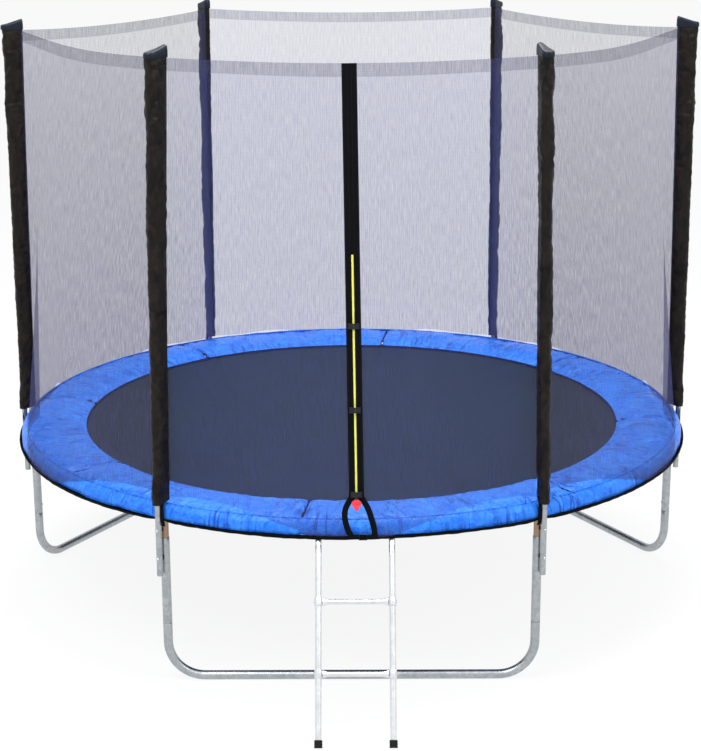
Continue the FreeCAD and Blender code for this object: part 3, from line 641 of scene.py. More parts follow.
@dataclass(frozen=True)
class ZincedTube(Finish):
    """Pre-galvanised steel tube: satin, with a faint spangle and broad patches of more and less
    gloss.
    """

    dark: str = "9AA0A4"
    light: str = "C9CCCE"
    spangle: float = 0.014

    def sockets(self) -> dict[str, float]:
        """Bare metal."""
        return {"Metallic": 1.0}

    def paint(self, graph: Graph) -> None:
        """Spangle, and patches of more and less gloss."""
        where = graph.place()
        flakes = graph.node("TexVoronoi", {"Vector": where, "Scale": 1 / self.spangle})
        tone = graph.node("RGBToBW", {"Color": flakes.outputs["Color"]}).outputs[0]
        patches = graph.clouds(where, 9.0, 5.0)
        mixed = graph.math("MULTIPLY", tone, patches)
        graph.lead(graph.between(mixed, self.dark, self.light))
        graph.lead(graph.ranged(patches, low=self.roughness - 0.08, high=self.roughness + 0.12),
                   "Roughness")
        graph.emboss(mixed, 0.0002, 0.5)


@dataclass(frozen=True)
class CoatedCloth(Finish):
    """PVC-coated polyester: a plastic gloss over a fine weave, creased where it is pulled."""

    dark: str = "1B1B1D"
    light: str = "2C2A2A"
    crease: float = 0.05
    crease_depth: float = 0.004
    stretch: tuple[float, float, float] = (1.0, 1.0, 1.0)
    weave: float = 0.004
    coat: float = 0.1
    gloss: float = 0.12
    spoke: float = 0.0
    # darker blue painted into the creases across the ring as their shade
    fold: str = "0A3C9C"

    def sockets(self) -> dict[str, float]:
        """Thin clear coat."""
        return {"Coat Weight": self.coat, "Coat Roughness": 0.2,
                "Specular IOR Level": self.gloss}

    def spokes(self, graph: Graph, where: bpy.types.NodeSocket) -> bpy.types.NodeSocket:
        """Thin sharp creases that run across the ring, as shares from 0 to 1."""
        x, y, _ = graph.node("SeparateXYZ", {"Vector": where}).outputs
        arc = graph.math("MULTIPLY", graph.math("ARCTAN2", y, x), 1.4 / self.spoke)
        flat = graph.node("CombineXYZ", {0: x, 1: y}).outputs[0]
        reach = graph.node("VectorMath", {0: flat}, operation="LENGTH").outputs["Value"]
        slow = graph.math("MULTIPLY", reach, 0.2 / self.spoke)
        plan = graph.node("CombineXYZ", {0: arc, 1: slow}).outputs[0]
        off = graph.math("SUBTRACT", graph.clouds(plan, 1.0, 2.5, Distortion=0.7), 0.5)
        return graph.ranged(graph.math("ABSOLUTE", off), 0.0, 0.035, 1.0, 0.0)

    def paint(self, graph: Graph) -> None:
        """Weave, folds and, on the pad, creases across the ring, with painted shade in them."""
        where = graph.place()
        drawn = graph.node("Mapping", {"Vector": where, "Scale": self.stretch}).outputs[0]
        folds = graph.clouds(drawn, 1 / self.crease, 4.0, Roughness=0.55, Distortion=1.6)
        ridge = graph.math("ABSOLUTE", graph.math("SUBTRACT", folds, 0.5))
        threads = graph.node("TexVoronoi", {"Vector": where, "Scale": 1 / self.weave},
                             distance="CHEBYCHEV").outputs["Distance"]
        height = graph.math("SUBTRACT", graph.math("MULTIPLY", threads, 0.035), ridge)
        colour = graph.between(graph.ranged(folds, 0.3, 0.7), self.dark, self.light)
        if self.spoke:
            # creases across the ring: a groove in the bump, with the darker fold colour painted in
            # as their shade
            some = graph.ranged(graph.clouds(where, 6.0), 0.42, 0.6, 0.0, 0.9)
            share = graph.math("MULTIPLY", self.spokes(graph, where), some)
            colour = graph.node("Mix", {0: share, 6: colour, 7: linear(self.fold)},
                                data_type="RGBA").outputs[2]
            height = graph.math("MULTIPLY_ADD", share, -0.25, height)
        graph.lead(colour)
        graph.emboss(height, self.crease_depth)


@dataclass(frozen=True)
class NettingYarn(Finish):
    """Knitted polyethylene netting: thin dull yarn round open cells, finer than the eye parts
    from a few steps away, so that most of it reads as an even lilac haze."""

    cover: float = 0.26
    cell: float = 0.0075
    yarn: float = 0.14
    streak: tuple[float, float, float] = (200.0, 16.0, 1.0)
    light: str = "475598"

    def sockets(self) -> dict[str, float]:
        """Almost no gloss."""
        return {"Specular IOR Level": 0.05}

    def paint(self, graph: Graph) -> None:
        """Yarn and its haze as opacity, denser low down and in fine upright streaks."""
        cloth = graph.node("UVMap", uv_map="cloth").outputs[0]
        u, v, _ = graph.node("SeparateXYZ", {"Vector": cloth}).outputs
        thread = self.cell * self.yarn
        lines = [graph.ranged(graph.math("PINGPONG", axis, self.cell / 2), thread * 0.7,
                              thread * 0.35, 0.0, weight)
                 for axis, weight in ((u, 1.0), (v, 0.6))]
        shade = graph.math("MULTIPLY_ADD", graph.math("MAXIMUM", *lines), 0.9 * self.cover,
                           0.78 * self.cover)
        drawn = graph.node("Mapping", {"Vector": cloth, "Scale": self.streak}).outputs[0]
        clouds = graph.clouds(drawn, 1.0)
        even = graph.math("MULTIPLY", shade, graph.ranged(v, 0.0, 1.8, 1.3, 0.85))
        alpha = graph.math("MULTIPLY", even, graph.ranged(clouds, 0.3, 0.7, 0.72, 1.28))
        graph.lead(graph.between(clouds, self.colour, self.light))
        graph.lead(alpha, "Alpha")


@dataclass(frozen=True)
class WovenCloth(Finish):
    """Close woven polypropylene: dull, with a fine over-and-under grain drawn at twice its
    real thread width so that it shows."""

    dark: str = "141A12"
    light: str = "232C22"
    thread: float = 0.004
    depth: float = 0.0006

    def sockets(self) -> dict[str, float]:
        """Almost no gloss."""
        return {"Specular IOR Level": 0.06}

    def paint(self, graph: Graph) -> None:
        """Weave, and broad patches of wear."""
        where = graph.place()
        weave = graph.math("MULTIPLY", *(graph.waves(where, self.thread, axis, Distortion=0.4)
                                         for axis in ("X", "Y")))
        clouds = graph.clouds(where, 3.0, 6.0, Roughness=0.6)
        tone = graph.node("Mix", {0: 0.35, 2: clouds, 3: weave}).outputs[0]
        graph.lead(graph.between(tone, self.dark, self.light))
        graph.emboss(weave, self.depth)


@dataclass(frozen=True)
class Webbing(Finish):
    """Woven polyester tape: matt, with a rib across every few millimetres of its length."""

    dark: str = "060608"
    light: str = "121215"
    rib: float = 0.003

    def sockets(self) -> dict[str, float]:
        """Almost no gloss."""
        return {"Specular IOR Level": 0.04}

    def paint(self, graph: Graph) -> None:
        """Ribs and fluff."""
        where = graph.place()
        ribs = graph.waves(where, self.rib, "Z", Distortion=0.8, Detail=1.0)
        tone = graph.node("Mix", {0: 0.5, 2: graph.clouds(where, 60.0, 4.0), 3: ribs}).outputs[0]
        graph.lead(graph.between(tone, self.dark, self.light))
        graph.emboss(tone, 0.0005)


@dataclass(frozen=True)
class Moulded(Finish):
    """Injection-moulded plastic or rubber: even colour, a fine texture and rubbed patches."""

    light: str = "24262C"
    grain: float = 0.0015
    metallic: float = 0.0
    gloss: float = 0.5

    def sockets(self) -> dict[str, float]:
        """Plastic, or metal under lacquer."""
        return {"Metallic": self.metallic, "Specular IOR Level": self.gloss}

    def paint(self, graph: Graph) -> None:
        """Rubbed patches and pits."""
        where = graph.place()
        patches = graph.clouds(where, 35.0, 5.0, Roughness=0.6)
        graph.lead(graph.between(patches, self.colour, self.light))
        graph.lead(graph.ranged(patches, low=self.roughness - 0.08, high=self.roughness + 0.1),
                   "Roughness")
        graph.emboss(graph.clouds(where, 1 / self.grain), 0.00015, 0.4)


@dataclass(frozen=True)
class Palette:
    """Every finish of the trampoline, built once."""

    tube: bpy.types.Material
    cut_edge: bpy.types.Material
    ladder_tube: bpy.types.Material
    stub: bpy.types.Material
    plated: bpy.types.Material
    blue_cloth: bpy.types.Material
    sleeve_cloth: bpy.types.Material
    netting: bpy.types.Material
    side_netting: bpy.types.Material
    hem_netting: bpy.types.Material
    mat_cloth: bpy.types.Material
    webbing: bpy.types.Material
    thread: bpy.types.Material
    plastic: bpy.types.Material
    cap_plastic: bpy.types.Material
    rubber: bpy.types.Material
    coil: bpy.types.Material
    red_tape: bpy.types.Material
    dark_metal: bpy.types.Material

    @classmethod
    def build(cls) -> "Palette":
        """Make all materials."""
        return cls(
            # satin zinc on cold-rolled tube: pale grey with soft broad highlights
            tube=ZincedTube("galvanised_tube", "B4B8BA", 0.36).build(),
            # freshly cut tube end: brighter and smoother than the wall
            cut_edge=ZincedTube("cut_steel_edge", "E4E6E8", 0.25, "D0D3D6", "F2F4F6").build(),
            # brighter zinc of the ladder, almost white
            ladder_tube=ZincedTube("bright_galvanised_tube", "E6E8EA", 0.3, "D4D7DA",
                                   "F4F6F8").build(),
            # welded stub: zinc burnt off by the weld, brown lacquer over it
            stub=Moulded("lacquered_weld_steel", "8C7460", 0.42, "AC9478", metallic=0.8).build(),
            # zinc-plated fasteners and springs: bright with a faint blue
            plated=Moulded("zinc_plated_steel", "A9AEB4", 0.28, "D2D6DA", metallic=1.0).build(),
            # pad cover: strong blue with a plastic gloss and sharp small creases that carry
            # painted shade
            blue_cloth=CoatedCloth("blue_coated_cloth", "1E72E3", 0.34, "1264DE", "3A8AF2",
                                   crease=0.05, crease_depth=0.011, coat=0.12,
                                   gloss=0.14, spoke=0.045).build(),
            # sleeve cover: black with long soft creases, brownish where it is lit
            sleeve_cloth=CoatedCloth("black_coated_cloth", "14120F", 0.36, "0A0A0B", "221C17",
                                     crease=0.045, crease_depth=0.006,
                                     stretch=(1.0, 1.0, 0.55), coat=0.06, gloss=0.1).build(),
            # net seen square on: an even lilac haze with fine upright streaks
            netting=NettingYarn("knitted_netting", "383B6C", 0.7).build(),
            # side panels are gathered, with more yarn in the same width
            side_netting=NettingYarn("gathered_netting", "3A3B5C", 0.7, cover=0.37,
                                     cell=0.0068, light="4B4D78").build(),
            # top band: two layers of yarn, greyer and denser
            hem_netting=NettingYarn("doubled_netting", "36374A", 0.7, cover=0.34,
                                    light="464864").build(),
            # mat: near black and dull, slate where it is seen through the net
            mat_cloth=WovenCloth("woven_polypropylene", "3A3F4C", 0.62).build(),
            # bindings and hems: matt black with faint ribs
            webbing=Webbing("black_webbing", "141418", 0.75).build(),
            # stitches: a shade lighter than the tape, so that the rows can be read
            thread=Moulded("polyester_thread", "1C1E26", 0.6, "2A2D37", gloss=0.15).build(),
            # clips, sockets and spacers: dull moulded black
            plastic=Moulded("black_polypropylene", "131317", 0.45, gloss=0.2).build(),
            # hats of the sleeves: smoother black with a gloss, tinted blue as a painted reflection
            # of sky
            cap_plastic=Moulded("black_glossy_plastic", "0C1018", 0.3, "182030",
                                gloss=0.2).build(),
            # ladder boots: matt black with almost no gloss
            rubber=Moulded("black_rubber", "121214", 0.7, "1C1C20", gloss=0.15).build(),
            # zip: a bright yellow line with a waxy shine
            coil=Moulded("yellow_nylon_coil", "F4F03C", 0.45, "FFFF8C").build(),
            # pull of open red tape: paler where the weave is frayed
            red_tape=Webbing("red_woven_tape", "E4202C", 0.7, "DC1020", "F2606C").build(),
            # zip slider: dark enamel with small glints
            dark_metal=Moulded("enamelled_zinc", "101014", 0.3, "1C1C22", metallic=0.4).build(),
        )


# --------------------------------------------------------------- steel frame


@dataclass
class SteelRing:
    """Six bent rails with swaged joints, and a stub welded under each."""

    palette: Palette
    radius: float = 1.506
    height: float = 0.741
    tube: float = 0.038
    wall: float = 0.0015
    slot_offsets: tuple[float, ...] = (-26.25, -18.75, -11.25, -3.75, 3.75, 11.25, 18.75, 26.25)
    slot_half: float = 0.003
    slot_low: float = 0.001
    slot_high: float = 0.007
    stub_tube: float = 0.0344
    stub_bottom: float = 0.477

    def rail(self, index: int) -> None:
        """One rail with its spring slots, open where a hook goes in."""
        reach = self.tube / 2
        half = math.degrees(self.slot_half / (self.radius - reach))
        slots = [(offset - half, offset + half) for offset in self.slot_offsets]
        gap = 0.02
        stations = sorted({*np.arange(-30, 30.1, 2.5).tolist()[1:-1], -30 + gap, 30 - gap,
                           *(edge for slot in slots for edge in slot)})
        low = math.degrees(math.asin(self.slot_low / reach))
        high = math.degrees(math.asin(self.slot_high / reach))
        turns = sorted({*np.arange(15, 360, 15).tolist(), low, high})
        spots = np.array([turns])
        radii = self.radius - reach * np.cos(np.radians(spots))
        heights = self.height + reach * np.sin(np.radians(spots))
        angles = np.radians(np.array(stations) + LEG_AZIMUTHS[index])[:, None]
        grid = np.stack((radii * np.cos(angles), radii * np.sin(angles),
                         heights + 0 * angles), -1)

        def in_slot(row: int, column: int) -> bool:
            """Whether a face of the grid lies in a spring slot."""
            middle = (stations[row] + stations[row + 1]) / 2
            turn = turns[column]
            return low <= turn < high and any(a < middle < b for a, b in slots)

        form = Form()
        form.grid(grid, wrap_v=True, skip=in_slot)
        piece = form.make(f"ring_rail_{index + 1}", [self.palette.tube])
        piece = thickened(piece, self.wall, -1, Edge.ROUNDED)
        place(piece, Body.FRAME, f"top_rail_{index + 1}", slot="galvanised_tube")

    def stubs(self) -> None:
        """Stubs and their weld beads."""
        form = Form()
        for azimuth in LEG_AZIMUTHS:
            foot = np.array([polar(self.radius, azimuth, self.stub_bottom + step * 0.02)
                             for step in range(13)])
            form.tube(foot, self.stub_tube / 2, self.wall, sides=24)
            bead = []
            for step in range(72):
                turn = math.tau * step / 72
                across = self.stub_tube / 2 * math.cos(turn)
                drop = math.sqrt((self.tube / 2) ** 2 - across ** 2)
                bead.append((self.radius + across * 1.03,
                             self.stub_tube / 2 * math.sin(turn) * 1.03, self.height - drop))
            steps = np.arange(72)
            size = 0.0026 * (1 + 0.22 * np.cos(steps * math.tau / 4))
            form.bar(spin(np.array(bead), azimuth), size, sides=6, closed=True)
        piece = form.make("ring_stubs", [self.palette.stub])
        place(piece, Body.FRAME, slot="galvanised_tube")

    def build(self) -> None:
        """All rails and stubs."""
        for index in range(len(LEG_AZIMUTHS)):
            self.rail(index)
        self.stubs()


@dataclass
class LegSet:
    """Uprights, U-shaped bases and the screws that lock them."""

    palette: Palette
    radius: float = 1.506
    tube: float = 0.038
    wall: float = 0.0015
    joint: float = 0.255
    top: float = 0.627
    corner: float = 0.15
    screw_height: float = 0.296

    def upright(self, index: int) -> None:
        """One upright with bright cut ends."""
        azimuth = LEG_AZIMUTHS[index]
        path = np.array([polar(self.radius, azimuth, height)
                         for height in np.linspace(self.joint + 0.0006, self.top, 12)])
        form = Form()
        form.tube(path, self.tube / 2, self.wall, rim=1)
        piece = form.make(f"upright_{index + 1}", [self.palette.tube, self.palette.cut_edge])
        place(piece, Body.FRAME, f"leg_upright_{index + 1}", slot="galvanised_tube")

    def base(self, name: str, azimuth: float) -> None:
        """One U-shaped base."""
        half = self.radius * math.sin(math.radians(30))
        depth = self.radius * math.cos(math.radians(30))
        low = self.tube / 2
        lean = arc_points(15, 0, 90)
        bend = [(half - self.corner + self.corner * math.cos(turn),
                 low + self.corner - self.corner * math.sin(turn)) for turn in lean]
        run = [(half, self.joint - 0.0006), (half, (self.joint + low + self.corner) / 2), *bend]
        run += [(x, low) for x in np.linspace(half - self.corner, 0, 8)[1:]]
        outline = run + [(-x, z) for x, z in run[-2::-1]]
        path = spin(np.array([(depth, x, z) for x, z in outline]), azimuth)
        form = Form()
        form.tube(path, self.tube / 2, self.wall, rim=1)
        for sign in (-1, 1):
            rise = np.array([(depth, sign * half, z)
                             for z in np.linspace(self.joint - 0.003, self.joint + 0.06, 6)])
            form.tube(spin(rise, azimuth), 0.0172, self.wall, mark=1)
        piece = form.make(f"base_{name}", [self.palette.tube, self.palette.cut_edge])
        place(piece, Body.FRAME, f"leg_base_{name}", slot="galvanised_tube")

    def screws(self) -> None:
        """Locking screws with domed, sunk heads, set by Geometry Nodes."""
        head = domed_head(0.009, 0.003, recess=True)
        spots = [(polar(self.radius - self.tube / 2, azimuth, self.screw_height),
                  -polar(1, azimuth)) for azimuth in LEG_AZIMUTHS]
        piece = scattered("leg_screw_heads", head, spots, self.palette.plated)
        place(piece, Body.FRAME, "leg_screws", slot="plated_steel")

    def build(self) -> None:
        """All legs."""
        for index in range(len(LEG_AZIMUTHS)):
            self.upright(index)
        for name, azimuth in (("front", FRONT), ("left", FRONT - 120), ("right", FRONT + 120)):
            self.base(name, azimuth)
        self.screws()


def domed_head(width: float, height: float, recess: bool = False) -> bpy.types.Object:
    """Template of a domed bolt or screw head whose seat is at the origin.

    Args:
        width: across the head.
        height: of the dome.
        recess: whether its crown is sunk.

    Returns:
        The template, with its axis on +Z.
    """
    form = Form()
    rings = []
    for share in (0.0, 0.18, 0.45, 0.7, 0.88, 0.97):
        reach = width / 2 * math.cos(share * math.pi / 2) ** 0.7
        rise = height * math.sin(share * math.pi / 2)
        if recess and share > 0.8:
            rise -= height * 0.35
        rings.append([(reach * math.cos(turn), reach * math.sin(turn), rise)
                      for turn in circle(16)])
    form.grid(np.array([[(x * 0.9, y * 0.9, -0.0004) for x, y, _ in rings[0]], *rings]),
              wrap_v=True)
    form.lid(np.array(rings[-1]))
    return form.make("head_template", [])


# -------------------------------------------------------------- sprung mat


@dataclass
class SprungMat:
    """Woven mat, its hem and links, and the springs between links and ring."""

    palette: Palette
    top: float = 0.743
    cloth_radius: float = 1.235
    cloth_thickness: float = 0.0015
    mat_radius: float = 1.300
    spring_height: float = 0.745
    body_start: float = 1.346
    body_end: float = 1.466
    coil_radius: float = 0.0075
    wire: float = 0.003
    turns: int = 24
    springs: int = 48
    link_wire: float = 0.0035

    def azimuths(self) -> list[float]:
        """Azimuth of each spring."""
        step = 360 / self.springs
        return [step * (index + 0.5) for index in range(self.springs)]

    def cloth(self) -> None:
        """Stretched sheet with the faintest swell."""
        rings = np.concatenate(([0.004], np.linspace(0.05, self.cloth_radius, 36)))
        turns = np.radians(np.arange(0, 360, 2.5))
        grid = np.stack((rings[:, None] * np.cos(turns), rings[:, None] * np.sin(turns),
                         np.full((len(rings), len(turns)), self.top)), -1)
        flat = grid.reshape(-1, 3)
        calm = 1 - smooth_step(np.hypot(flat[:, 0], flat[:, 1]), 1.0, self.cloth_radius)
        flat[:, 2] -= 0.0025 * calm * (1 + ripple(flat, 0.6, 1.0))
        form = Form()
        form.grid(flat.reshape(grid.shape), wrap_v=True)
        form.lid(flat.reshape(grid.shape)[0])
        piece = form.make("mat_cloth", [self.palette.mat_cloth], Edge.SOFT)
        downwards = -1 if piece.data.polygons[0].normal.z > 0 else 1
        piece = thickened(piece, self.cloth_thickness, downwards, Edge.ROUNDED)
        place(piece, Body.MAT, "jumping_mat", slot="woven_mat")

    def hem(self) -> None:
        """Folded hem with rows of stitches."""
        low, high = self.top - self.cloth_thickness, self.top + 0.0038
        inner, outer = self.cloth_radius, self.mat_radius
        section = [(inner, low), (inner - 0.0004, low + 0.003), (inner + 0.002, high),
                   (inner + 0.014, high + 0.0003), (inner + 0.032, high - 0.0002),
                   (inner + 0.05, high + 0.0003), (outer - 0.003, high),
                   (outer, high - 0.002), (outer, low + 0.001), (outer - 0.002, low)]
        turns = np.radians(np.arange(0, 360, 2.0))
        radii = np.array([point[0] for point in section])
        heights = np.array([point[1] for point in section])
        grid = np.stack((radii * np.cos(turns)[:, None], radii * np.sin(turns)[:, None],
                         heights + 0 * turns[:, None]), -1)
        form = Form()
        form.grid(grid, wrap_u=True, wrap_v=True)
        piece = form.make("mat_edge_hem", [self.palette.webbing], Edge.ROUNDED)
        place(piece, Body.MAT, "mat_hem", slot="black_webbing")
        rows = [np.array([polar(radius, azimuth, self.top + 0.0042)
                          for azimuth in np.arange(0, 361, 3.0)])
                for radius in (inner + 0.007, inner + 0.024, inner + 0.041, inner + 0.058)]
        sewn = stitched("mat_hem_stitches", rows, self.palette.thread, pitch=0.011,
                        length=0.008, thread=0.0014)
        place(sewn, Body.MAT, slot="black_webbing")

    def links(self) -> None:
        """Three-sided wire links held under the hem by short loops of tape."""
        tip, base, half = 0.034, -0.010, 0.019
        corners = [(base, -half), (base, half), (tip, 0.0)]
        outline = []
        for index, corner in enumerate(corners):
            before, after = Vector(corners[index - 1]), Vector(corners[(index + 1) % 3])
            here = Vector(corner)
            for share in np.linspace(0, 1, 5):
                start = here + (before - here).normalized() * 0.005
                end = here + (after - here).normalized() * 0.005
                point = start.lerp(here, share).lerp(here.lerp(end, share), share)
                outline.append((point.x, point.y, 0.0))
        wire = Form()
        wire.bar(np.array(outline), self.link_wire / 2, sides=6, closed=True)
        template = wire.make("link_template", [])
        level = self.top - self.cloth_thickness - self.link_wire / 2
        form = Form()
        shape = vertices(template.data)
        faces = [tuple(face.vertices) for face in template.data.polygons]
        bpy.data.objects.remove(template)
        for azimuth in self.azimuths():
            form.copied(spin(shape + np.array((self.mat_radius, 0, level)), azimuth), faces)
            loop = np.array([[(self.mat_radius - 0.055, side, level - 0.0028),
                              (self.mat_radius - 0.008, side, level - 0.0030),
                              (self.mat_radius - 0.004, side, level),
                              (self.mat_radius - 0.008, side, level + 0.0024),
                              (self.mat_radius - 0.055, side, level - 0.0012)]
                             for side in (-0.0125, 0.0125)])
            form.grid(spin(loop, azimuth), wrap_v=True, mark=1)
        piece = form.make("mat_links", [self.palette.plated, self.palette.webbing])
        place(piece, Body.MAT, "triangle_rings", slot="plated_steel")

    def coil(self) -> np.ndarray:
        """One spring's coiled body as a mesh along +Z."""
        pattern = Pattern("spring_coil", {"Turns": "Float", "Coil radius": "Float",
                                          "Wire radius": "Float", "Length": "Float"})
        tree, given = pattern.start()
        line = add_node(tree, "GeometryNodeCurveSpiral",
                        {"Resolution": 12, "Rotations": given.outputs["Turns"],
                         "Start Radius": given.outputs["Coil radius"],
                         "End Radius": given.outputs["Coil radius"],
                         "Height": given.outputs["Length"]})
        round_wire = add_node(tree, "GeometryNodeCurvePrimitiveCircle",
                              {"Resolution": 6, "Radius": given.outputs["Wire radius"]})
        body = add_node(tree, "GeometryNodeCurveToMesh",
                        {"Curve": line.outputs[0], "Profile Curve": round_wire.outputs[0],
                         "Fill Caps": True})
        pattern.end(tree, given, body.outputs[0])
        mesh = pattern.run(tree, bpy.data.meshes.new("coil_start"), self.palette.plated,
                           {"Turns": float(self.turns), "Coil radius": self.coil_radius,
                            "Wire radius": self.wire / 2,
                            "Length": self.body_end - self.body_start})
        return mesh

    def hook_paths(self) -> list[np.ndarray]:
        """Middle lines of the two hooks of one spring about azimuth 0."""
        level = self.spring_height
        outer = [(self.body_end, self.coil_radius, level), (self.body_end + 0.006, 0.003, level),
                 (self.body_end + 0.012, 0, level), (self.body_end + 0.022, 0, level),
                 (self.body_end + 0.0265, 0, level - 0.001),
                 (self.body_end + 0.0285, 0, level - 0.006),
                 (self.body_end + 0.028, 0, level - 0.011)]
        inner = [(self.body_start, self.coil_radius, level),
                 (self.body_start - 0.005, 0.003, level),
                 (self.body_start - 0.010, 0, level + 0.0005),
                 (self.body_start - 0.022, 0, level + 0.0005),
                 (self.body_start - 0.0285, 0, level - 0.003),
                 (self.body_start - 0.029, 0, level - 0.0075),
                 (self.body_start - 0.025, 0, level - 0.0105),
                 (self.body_start - 0.017, 0, level - 0.0108)]
        return [np.array(outer), np.array(inner)]

    def all_springs(self) -> None:
        """Every spring, between frame and mat."""
        coil = self.coil()
        points = vertices(coil)
        body = np.stack((points[:, 2] + self.body_start, points[:, 0],
                         points[:, 1] + self.spring_height), 1)
        faces = [tuple(face.vertices) for face in coil.polygons]
        for index, azimuth in enumerate(self.azimuths(), 1):
            form = Form()
            form.copied(spin(body, azimuth), faces)
            for path in self.hook_paths():
                form.bar(spin(fine_path(path, 4), azimuth), self.wire / 2, sides=6)
            piece = form.make(f"spring_{index}", [self.palette.plated], Edge.SOFT)
            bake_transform(piece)
            if index == 1:
                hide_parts("springs")
        log.info("springs: %d", self.springs)

    def build(self) -> None:
        """All of the mat."""
        self.cloth()
        self.hem()
        self.links()
        self.all_springs()


def fine_path(path: np.ndarray, steps: int) -> np.ndarray:
    """A path made smoother through its own points.

    Args:
        path: (n, 3) points.
        steps: new points on each run.

    Returns:
        Points of a smooth curve through the given ones.
    """
    padded = np.concatenate((path[:1] * 2 - path[1:2], path, path[-1:] * 2 - path[-2:-1]))
    made = []
    for index in range(1, len(padded) - 2):
        a, b, c, d = padded[index - 1:index + 3]
        for share in np.arange(steps) / steps:
            made.append(0.5 * ((2 * b) + (c - a) * share + (2 * a - 5 * b + 4 * c - d) * share ** 2
                               + (3 * b - a - 3 * c + d) * share ** 3))
    return np.array(made + [path[-1]])


# --------------------------------------------------------------- soft pieces


@dataclass
class Swelling:
    """Cloth simulation that swells a sewn cover and lets it wrinkle at its seams."""

    pressure: float = 2.0
    growth: float = 0.04
    frames: int = 20
    limit: float = 0.010

    def run(self, piece: bpy.types.Object, pinned: np.ndarray) -> np.ndarray:
        """Swell a piece.

        Args:
            piece: object with a closed mesh.
            pinned: how firmly each point is held, from 0 to 1.

        Returns:
            The moved points, none further than the limit.
        """
        rest = vertices(piece.data)
        held = piece.vertex_groups.new(name="held")
        for index, hold in enumerate(pinned):
            if hold > 0:
                held.add([index], float(hold), "REPLACE")
        cloth = piece.modifiers.new("cloth", "CLOTH")
        made = cloth.settings
        made.vertex_group_mass = "held"
        made.use_pressure = True
        made.uniform_pressure_force = self.pressure
        made.shrink_min = -self.growth
        made.effector_weights.gravity = 0
        made.quality = 6
        made.mass = 0.25
        made.tension_stiffness = 20
        made.compression_stiffness = 20
        made.bending_stiffness = 0.15
        cloth.point_cache.frame_start = 1
        cloth.point_cache.frame_end = self.frames
        scene = bpy.context.scene
        for frame in range(1, self.frames + 1):
            scene.frame_set(frame)
        graph = bpy.context.evaluated_depsgraph_get()
        moved = vertices(piece.evaluated_get(graph).to_mesh())
        piece.modifiers.clear()
        piece.vertex_groups.clear()
        scene.frame_set(1)
        step = moved - rest
        reach = np.linalg.norm(step, axis=1)
        share = np.where(reach > self.limit, self.limit / np.maximum(reach, 1e-9), 1.0)
        return rest + step * share[:, None]


def remade(piece: bpy.types.Object, edge: Edge = Edge.SOFT) -> bpy.types.Object:
    """Piece put in the scene anew under its own name, with its modifiers baked in."""
    name, materials = piece.name, list(piece.data.materials)
    mesh = baked(piece)
    bpy.data.objects.remove(piece)
    return link(name, mesh, materials, edge)


def refined(piece: bpy.types.Object) -> bpy.types.Object:
    """Piece with its mesh subdivided smoothly once."""
    smoother = piece.modifiers.new("smooth", "SUBSURF")
    smoother.levels = smoother.render_levels = 1
    return remade(piece)


def thickened(piece: bpy.types.Object, thickness: float, offset: float,
              edge: Edge = Edge.SOFT) -> bpy.types.Object:
    """Piece turned from a sheet of no thickness into one of a given thickness.

    Args:
        piece: sheet; it is replaced.
        thickness: in metres.
        offset: -1 inwards, 0 to both sides, 1 outwards.
        edge: how far shading stays smooth.

    Returns:
        The new piece with the same name and materials.
    """
    wall = piece.modifiers.new("wall", "SOLIDIFY")
    wall.thickness = thickness
    wall.offset = offset
    return remade(piece, edge)


